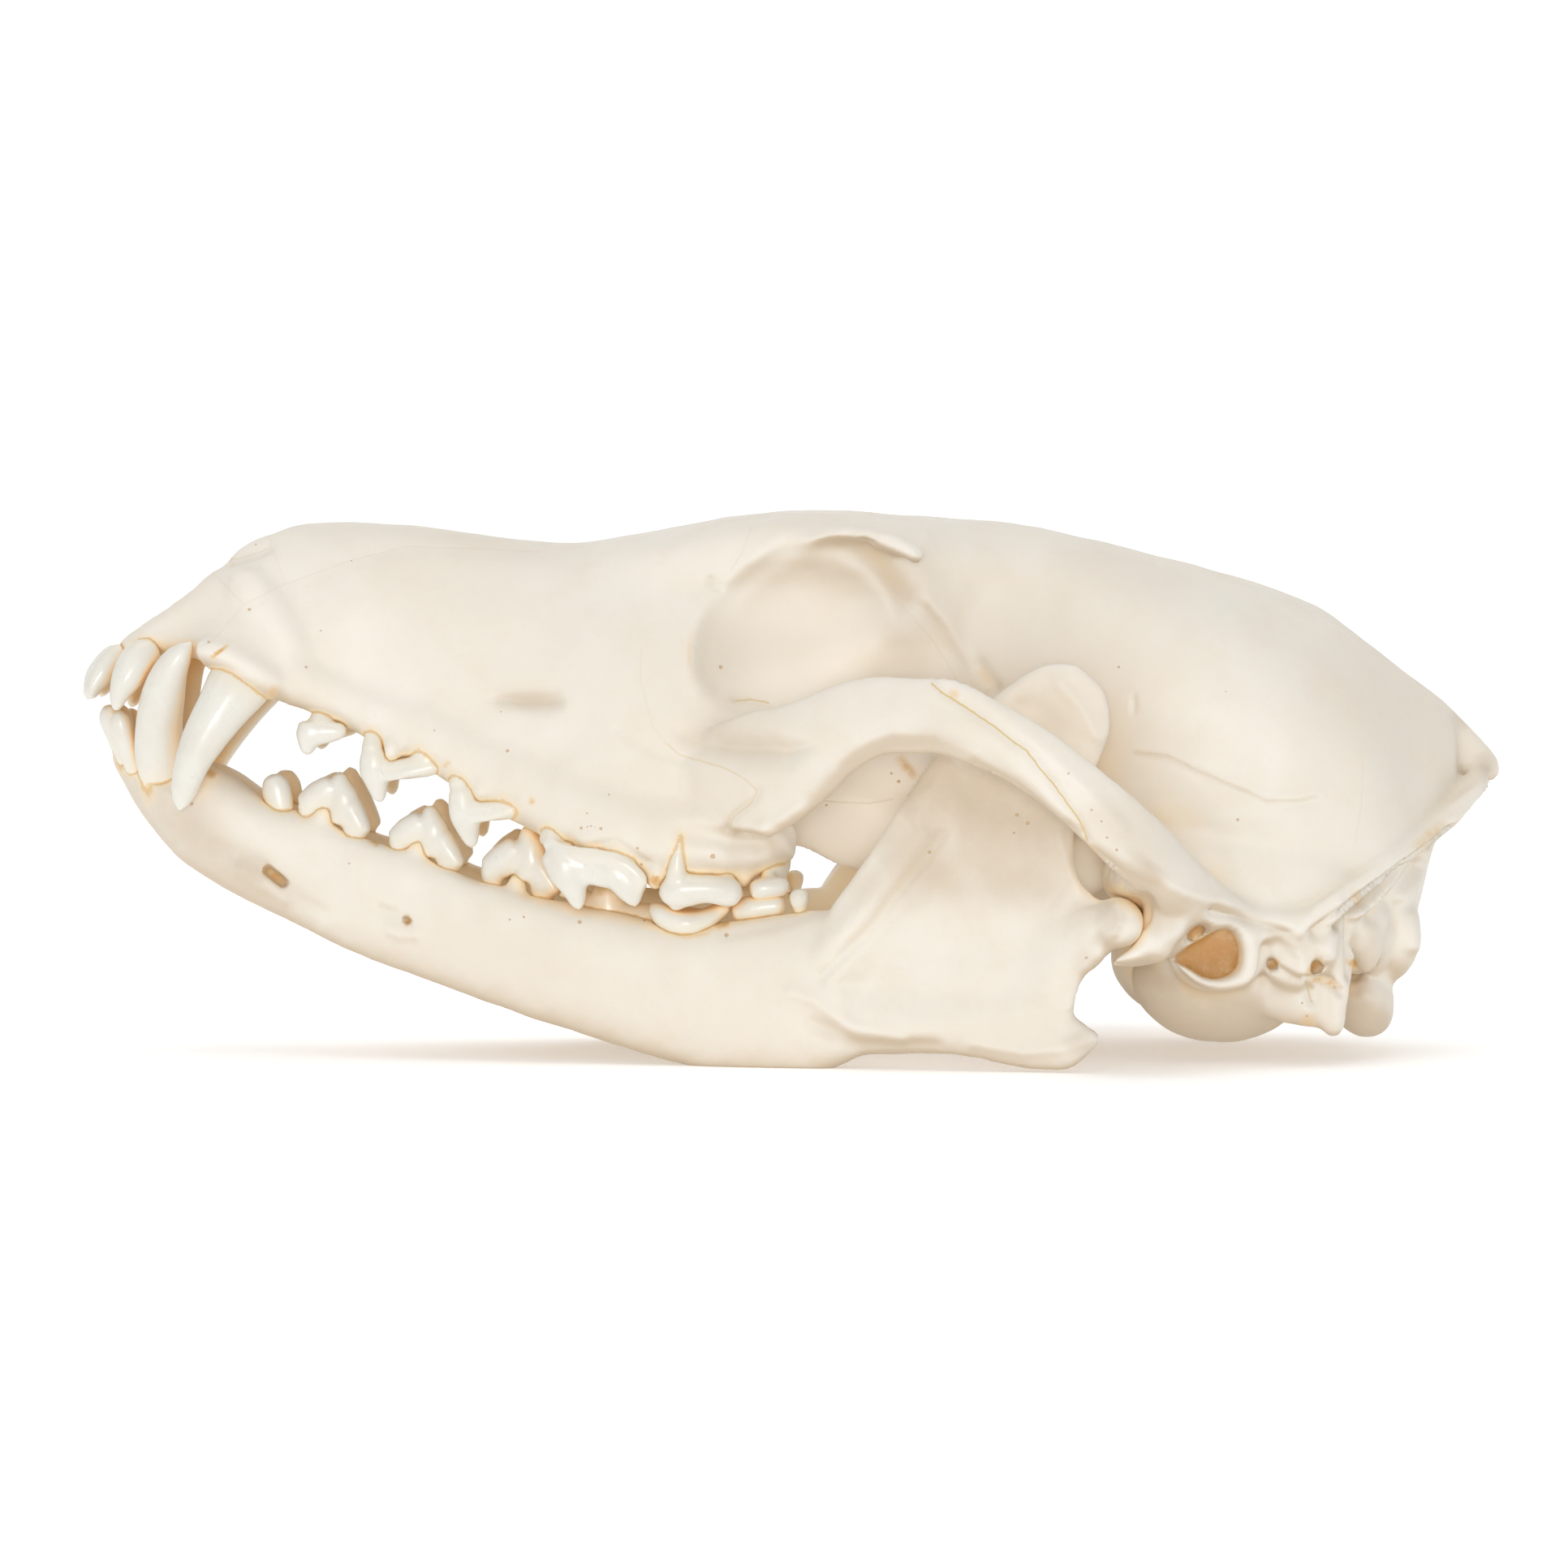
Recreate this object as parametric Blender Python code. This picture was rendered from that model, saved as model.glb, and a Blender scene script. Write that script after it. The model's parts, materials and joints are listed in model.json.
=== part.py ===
"""A red fox skull with its lower jaw closed, life size, resting on the lower edges of the jaw.

The nose points along -X, +Z is up, and the animal's left side faces -Y. It rests on Z = 0, and Y = 0 is
its plane of symmetry. Sizes are in millimetres until make_object turns them into metres. "out" is the
distance from the plane of symmetry towards a cheek, the same on both sides.

Each half of the lower jaw and the cranium is a skin round overlapping bodies. The cranium is then parted
by thin cuts near the seams where its arches, ear capsules, muzzle and braincase meet.
"""

import math

import bmesh
import bpy
import numpy as np

MM = 0.001
SIDES = {"left": -1, "right": 1}

# How fine the skins are, in millimetres, and how many triangles they keep.
SKIN_VOXEL = 0.7
CRANIUM_TRIANGLES = 6000
JAW_TRIANGLES = 1300
BULLA_TRIANGLES = 400
TOOTH_RING = 6
TOOTH_SECTIONS = 7

# The gap between touching pieces, and how deep the cut goes that leaves the jaw's flats on the table.
GAP = 0.3
FLOOR_CUT = 9.0

# Where the jaw turns: the middle of the left and right condyles as (x, out, z), and their size.
JAW_JOINT = (33.0, 26.5, 15.3)
CONDYLE_RADIUS = 2.5
CONDYLE_HALF_LENGTH = 6.8

# Colour (linear), roughness of bone.
BONE = ((0.83, 0.76, 0.64, 1.0), 0.5)

# Rows: x, top, bottom, out of the middle, half width, height of the widest place, crown, keel.
MUZZLE = (
    (-71.0, 42.4, 41.4, 0, 3.6, 42.0, 2.6, 2.6),
    (-69.8, 43.3, 41.0, 0, 6.0, 42.2, 3.0, 3.0),
    (-66.7, 45.6, 41.2, 0, 7.4, 43.2, 5.0, 3.0),
    (-61.9, 49.3, 41.4, 0, 7.4, 44.0, 5.0, 3.0),
    (-59.6, 51.0, 41.2, 0, 8.6, 43.4, 4.4, 3.0),
    (-57.4, 51.7, 40.6, 0, 9.9, 42.4, 3.4, 3.0),
    (-54.6, 54.3, 39.4, 0, 10.1, 42.0, 2.5, 3.0),
    (-52.8, 55.2, 38.8, 0, 9.9, 41.8, 2.4, 3.0),
    (-50.6, 55.6, 38.2, 0, 9.8, 41.4, 2.3, 3.0),
    (-46.4, 55.7, 36.8, 0, 9.8, 40.6, 2.2, 3.0),
    (-42.0, 55.5, 35.2, 0, 10.2, 39.4, 2.2, 3.0),
    (-35.3, 54.8, 32.8, 0, 11.4, 37.0, 2.15, 3.0),
    (-30.0, 54.1, 30.6, 0, 12.8, 35.4, 2.1, 3.0),
    (-24.2, 53.5, 28.0, 0, 14.8, 33.0, 2.0, 3.0),
    (-20.8, 53.5, 26.4, 0, 16.0, 31.6, 2.0, 3.0),
    (-14.8, 54.6, 24.2, 0, 17.6, 29.6, 2.0, 3.0),
    (-8.0, 55.8, 23.0, 0, 18.4, 28.0, 2.0, 3.0),
    (-1.6, 56.6, 23.4, 0, 16.4, 27.6, 2.0, 3.0),
    (-0.4, 56.6, 24.0, 0, 15.0, 27.8, 2.0, 3.0),
)
FOREHEAD = (
    (-22.0, 53.3, 44.0, 0, 8.0, 48.0, 2.4, 2.0),
    (-14.8, 54.6, 44.0, 0, 11.2, 50.0, 2.6, 2.0),
    (-8.0, 55.8, 45.0, 0, 13.0, 51.4, 2.8, 2.0),
    (-1.2, 56.6, 45.5, 0, 13.6, 52.4, 2.8, 2.0),
    (5.0, 56.8, 45.5, 0, 14.2, 52.8, 2.8, 2.0),
    (9.0, 56.5, 44.0, 0, 14.6, 52.6, 2.7, 2.0),
    (11.6, 56.3, 42.0, 0, 14.0, 52.0, 2.6, 2.0),
    (14.4, 56.1, 41.0, 0, 12.4, 50.8, 2.4, 2.0),
    (17.6, 55.9, 40.0, 0, 11.4, 49.6, 2.2, 2.0),
    (22.0, 55.7, 39.0, 0, 11.2, 48.0, 2.1, 2.0),
    (28.0, 54.9, 37.0, 0, 12.0, 47.0, 2.1, 2.0),
)
BRAINCASE = (
    (-16.0, 53.6, 28.0, 0, 9.0, 40.0, 2.0, 2.0),
    (-8.0, 55.4, 25.5, 0, 8.6, 36.0, 2.0, 2.4),
    (0.0, 56.4, 24.5, 0, 8.4, 36.0, 2.0, 2.4),
    (8.0, 56.4, 22.5, 0, 8.8, 38.0, 2.0, 2.4),
    (14.0, 56.1, 20.6, 0, 10.2, 38.6, 2.0, 2.4),
    (20.0, 55.6, 18.6, 0, 12.9, 38.4, 2.0, 2.3),
    (26.0, 54.9, 16.8, 0, 16.6, 37.6, 2.0, 2.3),
    (32.0, 53.7, 15.0, 0, 20.0, 36.6, 2.0, 2.4),
    (38.0, 52.3, 13.0, 0, 22.2, 35.2, 2.0, 2.5),
    (44.0, 50.7, 11.2, 0, 23.0, 33.6, 2.0, 2.6),
    (49.1, 49.2, 9.4, 0, 22.8, 31.8, 1.95, 2.6),
    (55.0, 46.9, 7.4, 0, 21.0, 28.8, 1.9, 2.5),
    (60.1, 43.3, 7.0, 0, 18.0, 25.6, 1.9, 2.3),
    (62.8, 41.2, 8.2, 0, 14.8, 23.4, 1.9, 2.4),
    (64.6, 39.6, 11.4, 0, 12.2, 23.6, 1.9, 2.4),
    (66.6, 37.9, 19.4, 0, 9.2, 27.0, 2.0, 2.0),
    (69.6, 35.6, 26.0, 0, 4.6, 30.0, 2.0, 2.0),
)

# Rows: x, out, z, half thickness, half height.
ARCH = (
    (-12.5, 15.0, 30.5, 3.2, 5.0),
    (-8.6, 18.2, 31.4, 2.6, 5.6),
    (-3.6, 22.2, 31.6, 2.1, 5.6),
    (0.6, 25.6, 32.6, 1.9, 5.0),
    (4.6, 28.4, 34.6, 1.7, 4.5),
    (9.0, 31.0, 36.0, 1.6, 4.1),
    (14.0, 33.2, 35.9, 1.5, 3.9),
    (18.4, 34.6, 34.4, 1.5, 3.7),
    (22.6, 35.4, 32.2, 1.5, 3.4),
    (26.6, 35.7, 29.4, 1.5, 3.3),
    (30.4, 35.4, 26.2, 1.6, 3.4),
    (34.6, 33.8, 22.4, 2.2, 3.6),
    (38.6, 29.8, 19.0, 3.0, 3.6),
    (43.0, 24.8, 16.6, 3.2, 3.2),
    (47.5, 21.1, 15.4, 3.0, 3.0),
)
NUCHAL_CREST = (
    (72.6, 0.6, 29.8, 1.2, 1.7),
    (70.2, 5.6, 27.0, 1.1, 1.8),
    (66.6, 10.4, 24.0, 1.1, 2.0),
    (62.8, 14.4, 21.6, 1.1, 2.0),
    (59.0, 17.8, 19.4, 1.1, 2.0),
    (56.0, 20.2, 17.4, 1.2, 1.9),
    (53.4, 21.6, 15.6, 1.4, 1.8),
    (51.0, 22.2, 14.4, 1.6, 1.6),
    (47.0, 22.6, 14.6, 1.6, 1.5),
    (43.0, 23.4, 15.6, 1.6, 1.5),
)
TOOTH_BANK = (
    (-68.0, 4.6, 43.4, 2.2, 1.6),
    (-63.0, 5.8, 43.4, 1.8, 1.8),
    (-57.6, 8.8, 42.4, 2.2, 2.8),
    (-53.0, 9.2, 40.0, 2.0, 2.6),
    (-46.0, 8.9, 37.4, 1.7, 2.4),
    (-37.0, 10.6, 33.8, 1.8, 2.8),
    (-31.5, 12.0, 30.8, 2.0, 3.2),
    (-25.0, 14.0, 27.8, 2.3, 3.6),
    (-18.0, 16.2, 25.0, 2.6, 3.8),
    (-10.0, 17.2, 23.6, 3.2, 3.8),
    (-4.0, 16.2, 23.4, 3.2, 3.4),
    (0.6, 14.6, 23.4, 2.2, 2.4),
)
PTERYGOID = (
    (-6.0, 7.8, 25.0, 1.2, 2.6),
    (1.0, 6.6, 25.2, 0.9, 3.8),
    (7.0, 6.0, 23.8, 0.9, 4.8),
    (13.0, 5.8, 21.8, 0.9, 4.6),
    (17.0, 6.0, 19.0, 0.8, 3.4),
    (20.6, 6.4, 15.8, 0.8, 1.0),
)

# Rows: x, top, bottom, out, half thickness, height of the widest place, crown, keel.
JAW = (
    (-70.8, 32.0, 30.2, 1.5, 1.2, 31.2, 2.2, 2.2),
    (-70.0, 32.4, 28.7, 1.9, 1.7, 30.6, 2.4, 2.2),
    (-68.1, 31.8, 25.4, 2.7, 2.5, 29.0, 2.6, 2.2),
    (-64.6, 29.8, 21.3, 3.9, 3.5, 26.6, 3.0, 2.2),
    (-61.0, 30.4, 18.6, 4.8, 3.8, 25.4, 3.0, 2.2),
    (-58.4, 29.4, 17.1, 5.2, 3.6, 24.0, 2.6, 2.2),
    (-54.1, 26.4, 15.0, 5.9, 3.1, 21.4, 2.4, 2.2),
    (-50.0, 25.4, 13.0, 6.6, 2.8, 20.0, 2.6, 2.2),
    (-45.5, 23.4, 10.9, 7.6, 2.6, 18.0, 2.8, 2.2),
    (-38.0, 20.8, 8.2, 9.6, 2.6, 15.2, 2.8, 2.2),
    (-31.0, 18.2, 5.8, 11.4, 2.8, 12.8, 2.8, 2.2),
    (-24.0, 16.6, 3.6, 13.2, 3.0, 10.8, 2.8, 2.2),
    (-17.7, 15.6, 1.6, 14.8, 3.2, 9.0, 2.8, 2.2),
    (-11.0, 14.2, -0.1, 16.4, 3.3, 7.8, 2.6, 2.2),
    (-6.6, 14.8, -0.9, 17.4, 3.3, 7.2, 2.6, 2.2),
    (-1.2, 15.6, -1.0, 18.7, 3.2, 7.0, 2.4, 2.2),
    (2.9, 16.2, -0.5, 19.8, 2.9, 7.4, 2.2, 2.2),
    (7.8, 15.0, 1.4, 21.0, 2.4, 7.4, 2.2, 2.2),
    (12.6, 13.0, 1.6, 22.3, 2.0, 6.6, 2.2, 2.2),
    (18.3, 11.0, 1.1, 23.7, 1.8, 5.6, 2.2, 2.2),
    (23.9, 9.0, 0.1, 25.0, 1.6, 4.4, 2.2, 2.2),
    (27.6, 6.2, 0.0, 25.9, 1.3, 3.0, 2.2, 2.2),
    (29.6, 4.8, 2.2, 26.3, 1.0, 3.4, 2.2, 2.2),
)
# Rows: z, front x, back x, out at the front, out at the back, half thickness.
RAMUS = (
    (3.0, 2.0, 28.4, 20.4, 25.8, 1.5),
    (5.2, 1.0, 28.0, 20.2, 26.0, 1.8),
    (8.0, 0.5, 28.2, 20.2, 26.2, 1.9),
    (10.2, 0.6, 29.2, 20.4, 26.4, 1.9),
    (12.0, 1.2, 30.6, 20.6, 26.4, 1.8),
    (14.0, 2.2, 31.6, 20.9, 26.4, 1.7),
    (16.6, 4.0, 31.4, 21.3, 26.2, 1.6),
    (18.2, 5.2, 29.2, 21.6, 26.0, 1.5),
    (21.0, 7.2, 28.2, 22.0, 25.9, 1.4),
    (25.7, 10.0, 28.2, 22.7, 26.0, 1.3),
    (29.0, 12.2, 29.4, 23.3, 26.2, 1.2),
    (31.8, 14.4, 30.8, 23.8, 26.5, 1.15),
    (35.1, 17.0, 31.7, 24.5, 26.8, 1.1),
    (38.1, 20.6, 31.2, 25.3, 27.0, 1.05),
    (39.7, 22.6, 29.9, 25.8, 27.0, 0.95),
    (41.0, 25.0, 28.2, 26.2, 26.8, 0.7),
)

# Front teeth. Rows from the root to the tip: x, out, z, half across, half front to back.
FRONT_TEETH = {
    "upper": {
        "incisor_1": ((-65.4, 1.5, 44.4, 0.9, 1.2), (-70.4, 1.7, 41.6, 1.3, 1.7), (-72.7, 1.8, 39.6, 1.45, 1.2),
                      (-73.7, 1.8, 36.9, 1.2, 0.5)),
        "incisor_2": ((-64.6, 4.0, 44.6, 0.9, 1.3), (-69.5, 4.3, 41.9, 1.35, 1.8), (-71.9, 4.8, 39.4, 1.5, 1.4),
                      (-72.5, 4.9, 36.8, 1.2, 0.5)),
        "incisor_3": ((-62.0, 6.0, 46.0, 1.2, 1.6), (-68.2, 6.6, 42.0, 1.7, 2.3), (-69.8, 7.2, 38.6, 1.5, 1.8),
                      (-70.1, 7.4, 35.6, 0.6, 0.6)),
        "canine": ((-50.0, 8.0, 46.5, 1.8, 2.4), (-55.6, 9.5, 40.4, 2.3, 3.3), (-59.0, 10.6, 36.0, 2.1, 2.9),
                   (-61.2, 11.1, 32.0, 1.8, 2.2), (-62.4, 11.2, 28.8, 1.4, 1.7), (-62.9, 11.1, 26.4, 1.0, 1.2),
                   (-63.2, 11.0, 25.2, 0.7, 0.8)),
    },
    "lower": {
        "incisor_1": ((-67.0, 1.2, 28.5, 0.8, 1.2), (-70.4, 1.3, 32.4, 1.0, 1.5), (-71.6, 1.35, 35.2, 1.1, 1.0),
                      (-71.8, 1.4, 37.0, 0.9, 0.4)),
        "incisor_2": ((-66.6, 3.0, 28.5, 0.8, 1.3), (-69.8, 3.2, 32.2, 1.1, 1.6), (-71.0, 3.4, 35.0, 1.2, 1.1),
                      (-71.3, 3.5, 36.8, 1.0, 0.4)),
        "incisor_3": ((-65.4, 4.2, 28.5, 0.9, 1.4), (-68.6, 4.8, 31.8, 1.2, 1.7), (-69.4, 5.0, 34.4, 1.2, 1.2),
                      (-69.6, 5.1, 36.2, 0.9, 0.5)),
        "canine": ((-59.0, 4.6, 22.0, 2.0, 2.4), (-63.4, 5.6, 28.0, 2.2, 3.1), (-65.4, 6.8, 32.6, 2.0, 2.8),
                   (-65.4, 7.9, 36.4, 1.7, 2.3), (-64.0, 8.8, 39.8, 1.2, 1.5), (-62.7, 9.3, 42.2, 0.8, 0.9),
                   (-62.1, 9.5, 43.2, 0.5, 0.5)),
    },
}
# Cheek teeth: the gum line's two ends and the crown's edge as (x, z), out at the front and back, half width.
CHEEK_TEETH = {
    "upper": {
        "premolar_1": (((-51.2, 36.2), (-45.4, 34.6)), ((-51.1, 35.0), (-49.8, 31.1), (-47.2, 33.3), (-45.4, 34.2)),
                       (9.0, 9.5), 1.2),
        "premolar_2": (((-44.4, 33.2), (-36.0, 30.6)),
                       ((-44.6, 32.2), (-43.6, 28.4), (-42.1, 26.0), (-40.0, 28.6), (-37.4, 28.8), (-36.0, 29.9)),
                       (10.0, 11.4), 1.3),
        "premolar_3": (((-34.2, 29.6), (-26.8, 27.0)),
                       ((-34.5, 28.4), (-33.8, 24.0), (-32.5, 21.4), (-30.2, 24.6), (-28.0, 24.9), (-26.8, 26.0)),
                       (12.0, 14.0), 1.4),
        "premolar_4": (((-25.4, 24.8), (-13.8, 20.4)),
                       ((-25.6, 23.6), (-22.8, 18.2), (-20.9, 15.6), (-18.9, 17.3), (-15.8, 15.9), (-13.6, 18.6)),
                       (16.3, 18.8), 1.6),
        "molar_1": (((-13.7, 21.4), (-4.4, 20.6)),
                    ((-13.9, 19.8), (-11.0, 15.6), (-8.8, 17.2), (-6.5, 15.7), (-4.2, 19.0)), (18.9, 18.5), 1.7),
        "molar_2": (((-4.6, 21.0), (0.0, 21.2)), ((-4.7, 19.6), (-3.2, 17.1), (-0.9, 17.6), (0.1, 19.8)),
                    (17.4, 16.6), 1.4),
    },
    "lower": {
        "premolar_1": (((-55.3, 26.8), (-51.6, 25.2)), ((-55.4, 28.0), (-53.9, 30.3), (-51.6, 26.6)), (6.2, 6.9), 1.0),
        "premolar_2": (((-51.2, 25.6), (-43.4, 22.6)),
                       ((-51.4, 26.8), (-48.0, 28.6), (-46.0, 30.0), (-44.8, 26.4), (-43.3, 24.0)), (7.0, 8.4), 1.2),
        "premolar_3": (((-42.0, 21.6), (-32.8, 18.6)),
                       ((-42.2, 22.8), (-38.8, 25.0), (-36.9, 26.6), (-35.4, 22.8), (-32.7, 19.8)), (8.8, 10.6), 1.3),
        "premolar_4": (((-32.0, 18.8), (-22.8, 15.8)),
                       ((-32.2, 20.4), (-28.6, 22.8), (-26.6, 24.9), (-25.2, 21.2), (-22.7, 17.2)), (10.9, 12.0), 1.4),
        "molar_1": (((-22.6, 16.2), (-6.8, 13.8)),
                    ((-22.8, 17.0), (-20.6, 21.0), (-18.8, 20.0), (-16.4, 22.6), (-13.8, 17.4), (-10.2, 16.6),
                     (-6.8, 15.0)), (12.6, 15.4), 1.8),
        "molar_2": (((-6.2, 15.0), (-0.4, 15.6)), ((-6.2, 15.8), (-4.4, 16.7), (-1.6, 16.8), (-0.4, 16.4)),
                    (16.4, 17.6), 1.7),
        "molar_3": (((-0.1, 16.0), (2.4, 16.6)), ((-0.1, 17.0), (1.0, 18.6), (2.4, 17.4)), (18.2, 18.8), 1.1),
    },
}
# The inner parts of the broad teeth: centre as (x, out, z), and radii.
TOOTH_LOBES = {
    "upper": {
        "premolar_4": ((-23.7, 13.6, 23.8), (1.6, 2.4, 2.4)),
        "molar_1": ((-9.2, 14.2, 21.0), (3.6, 4.8, 3.6)),
        "molar_2": ((-2.4, 13.6, 20.8), (2.3, 3.6, 3.0)),
    },
    "lower": {},
}
ROOT_DEPTH = 3.4


# Curves and closed bodies

def smooth_curve(rows):
    """A function of the first column that passes through the other columns without overshoot."""
    rows = np.asarray(rows, float)
    x, y = rows[:, 0], rows[:, 1:]
    step = np.diff(x)[:, None]
    rise = np.diff(y, axis=0) / step
    slope = np.empty_like(y)
    slope[0], slope[-1] = rise[0], rise[-1]
    before, after = rise[:-1], rise[1:]
    near, far = 2 * step[1:] + step[:-1], step[1:] + 2 * step[:-1]
    same_way = before * after > 0
    safe_before = np.where(same_way, before, 1.0)
    safe_after = np.where(same_way, after, 1.0)
    mean = (near + far) / (near / safe_before + far / safe_after)
    slope[1:-1] = np.where(same_way, mean, 0.0)

    def value(at):
        at = np.atleast_1d(np.asarray(at, float))
        k = np.clip(np.searchsorted(x, at) - 1, 0, len(x) - 2)
        h = step[k]
        t = np.clip(((at - x[k]) / h[:, 0])[:, None], 0, 1)
        return (
            (2 * t**3 - 3 * t**2 + 1) * y[k]
            + (t**3 - 2 * t**2 + t) * h * slope[k]
            + (3 * t**2 - 2 * t**3) * y[k + 1]
            + (t**3 - t**2) * h * slope[k + 1]
        )

    return value


def along(rows, count, columns=3):
    """count rows spaced evenly along the line through the rows' first columns."""
    rows = np.asarray(rows, float)
    gaps = np.linalg.norm(np.diff(rows[:, :columns], axis=0), axis=1)
    distance = np.concatenate([[0], np.cumsum(gaps)])
    curve = smooth_curve(np.column_stack([distance, rows]))
    return curve(np.linspace(0, distance[-1], count))


def make_object(name, vertices, faces):
    """A mesh object, from sizes in millimetres, with its faces pointing out."""
    mesh = bpy.data.meshes.new(name)
    mesh.from_pydata([tuple(v) for v in np.asarray(vertices, float) * MM], [], faces)
    shape = bmesh.new()
    shape.from_mesh(mesh)
    bmesh.ops.recalc_face_normals(shape, faces=shape.faces)
    shape.to_mesh(mesh)
    shape.free()
    obj = bpy.data.objects.new(name, mesh)
    bpy.context.scene.collection.objects.link(obj)
    return obj


def loft(name, rings):
    """A closed body through rings that all have the same number of points."""
    rings = np.asarray(rings, float)
    count, size = rings.shape[:2]
    faces = []
    for r in range(count - 1):
        for k in range(size):
            after = (k + 1) % size
            faces.append((r * size + k, r * size + after, (r + 1) * size + after, (r + 1) * size + k))
    faces.append(tuple(range(size)))
    faces.append(tuple((count - 1) * size + k for k in range(size)))
    return make_object(name, rings.reshape(-1, 3), faces)


def egg(top, bottom, half, widest, crown, keel, size):
    """An egg-shaped ring of (across, up) points: crown and keel above 2 are squarer, below 2 sharper."""
    turn = np.linspace(0, 2 * math.pi, size, endpoint=False)
    c, s = np.cos(turn), np.sin(turn)
    power = np.where(s >= 0, 2 / crown, 2 / keel)
    reach = np.where(s >= 0, top - widest, widest - bottom)
    across = half * np.sign(c) * np.abs(c) ** power
    up = widest + reach * np.sign(s) * np.abs(s) ** power
    return across, up


def section_body(name, rows, count, side=1, size=28):
    """A body of egg-shaped sections across X."""
    rows = np.asarray(rows, float)
    curve = smooth_curve(rows)
    rings = []
    for x in np.linspace(rows[0, 0], rows[-1, 0], count):
        top, bottom, out, half, widest, crown, keel = curve(x)[0]
        across, up = egg(top, bottom, half, widest, crown, keel, size)
        rings.append(np.column_stack([np.full_like(across, x), (out + across) * side, up]))
    return loft(name, rings)


def bar(name, rows, count, side=1, size=12, up=(0, 0, 1), ends=0.25):
    """A bar along a path. Rows: x, out, z, half width across, half height towards up."""
    rows = along(rows, count)
    centre = rows[:, :3] * (1, side, 1)
    tangent = np.gradient(centre, axis=0)
    tangent /= np.linalg.norm(tangent, axis=1)[:, None]
    level = np.cross(tangent, np.asarray(up, float) * (1, side, 1))
    level /= np.linalg.norm(level, axis=1)[:, None]
    raised = np.cross(level, tangent)
    turn = np.linspace(0, 2 * math.pi, size, endpoint=False)
    rings = []
    for k, row in enumerate(rows):
        share = k / (count - 1)
        closeness = min(min(share, 1 - share) / ends, 1.0)
        taper = max(math.sqrt(1 - (1 - closeness) ** 2), 0.12)
        rings.append(
            centre[k]
            + np.outer(np.cos(turn), level[k]) * row[3] * taper
            + np.outer(np.sin(turn), raised[k]) * row[4] * taper
        )
    return loft(name, rings)


def ellipsoid(name, centre, radii, side=1, tilt=0.0, yaw=0.0, size=20):
    """An ellipsoid. tilt lifts its front and yaw turns its front outwards, in degrees."""
    tilt, yaw = math.radians(tilt), math.radians(yaw)
    turn = np.linspace(0, 2 * math.pi, size, endpoint=False)
    rings = []
    for lat in np.linspace(-math.pi / 2, math.pi / 2, size // 2 + 1)[1:-1]:
        x = radii[0] * math.cos(lat) * np.cos(turn)
        y = radii[1] * math.cos(lat) * np.sin(turn)
        z = np.full(size, radii[2] * math.sin(lat))
        x, z = x * math.cos(tilt) + z * math.sin(tilt), z * math.cos(tilt) - x * math.sin(tilt)
        x, y = x * math.cos(yaw) - y * math.sin(yaw), x * math.sin(yaw) + y * math.cos(yaw)
        rings.append((np.column_stack([x, y, z]) + centre) * (1, side, 1))
    return loft(name, rings)


def slab(name, centre, normal, half_sizes, side=1, thickness=GAP):
    """A plate that cuts a piece in two, square to its level normal. half_sizes: level, and up."""
    normal = np.asarray(normal, float) * (1, side, 1)
    normal /= np.linalg.norm(normal)
    level = np.cross(normal, (0.0, 0.0, 1.0))
    level /= np.linalg.norm(level)
    up = np.cross(level, normal)
    centre = np.asarray(centre, float) * (1, side, 1)
    rings = []
    for face in (-0.5, 0.5):
        middle = centre + normal * face * thickness
        rings.append([
            middle + a * half_sizes[0] * level + b * half_sizes[1] * up
            for a, b in ((1, 1), (1, -1), (-1, -1), (-1, 1))
        ])
    return loft(name, rings)


# Work on meshes

def take_mesh(obj):
    """The object's vertices in millimetres and its faces."""
    mesh = obj.data
    vertices = np.empty(len(mesh.vertices) * 3)
    mesh.vertices.foreach_get("co", vertices)
    return vertices.reshape(-1, 3) / MM, [tuple(p.vertices) for p in mesh.polygons]


def join(name, pieces):
    """One mesh object that holds every piece. The pieces are removed."""
    vertices, faces, first = [], [], 0
    for piece in pieces:
        points, polygons = take_mesh(piece)
        vertices.append(points)
        faces += [tuple(i + first for i in polygon) for polygon in polygons]
        first += len(points)
        bpy.data.objects.remove(piece)
    return make_object(name, np.concatenate(vertices), faces)


def apply_modifiers(obj):
    """Replaces the object's mesh by what its modifiers make."""
    graph = bpy.context.evaluated_depsgraph_get()
    mesh = bpy.data.meshes.new_from_object(obj.evaluated_get(graph))
    obj.modifiers.clear()
    obj.data = mesh


def skin(obj, voxel):
    """One even skin around the pieces that a mesh holds."""
    remesh = obj.modifiers.new("skin", "REMESH")
    remesh.mode = "VOXEL"
    remesh.voxel_size = voxel * MM
    apply_modifiers(obj)


def thin_out(obj, triangles):
    """Fewer, larger triangles where the surface is even."""
    mesh = obj.data
    mesh.calc_loop_triangles()
    decimate = obj.modifiers.new("fewer", "DECIMATE")
    decimate.ratio = min(1.0, triangles / len(mesh.loop_triangles))
    apply_modifiers(obj)


def combine(obj, pieces, operation):
    """Joins the pieces to the object, or cuts them from it, and removes them."""
    group = bpy.data.collections.new("pieces")
    bpy.context.scene.collection.children.link(group)
    for piece in pieces:
        bpy.context.scene.collection.objects.unlink(piece)
        group.objects.link(piece)
    boolean = obj.modifiers.new("combine", "BOOLEAN")
    boolean.operation = operation
    boolean.operand_type = "COLLECTION"
    boolean.collection = group
    boolean.solver = "MANIFOLD"
    apply_modifiers(obj)
    for piece in list(group.objects):
        bpy.data.objects.remove(piece)
    bpy.data.collections.remove(group)


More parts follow.
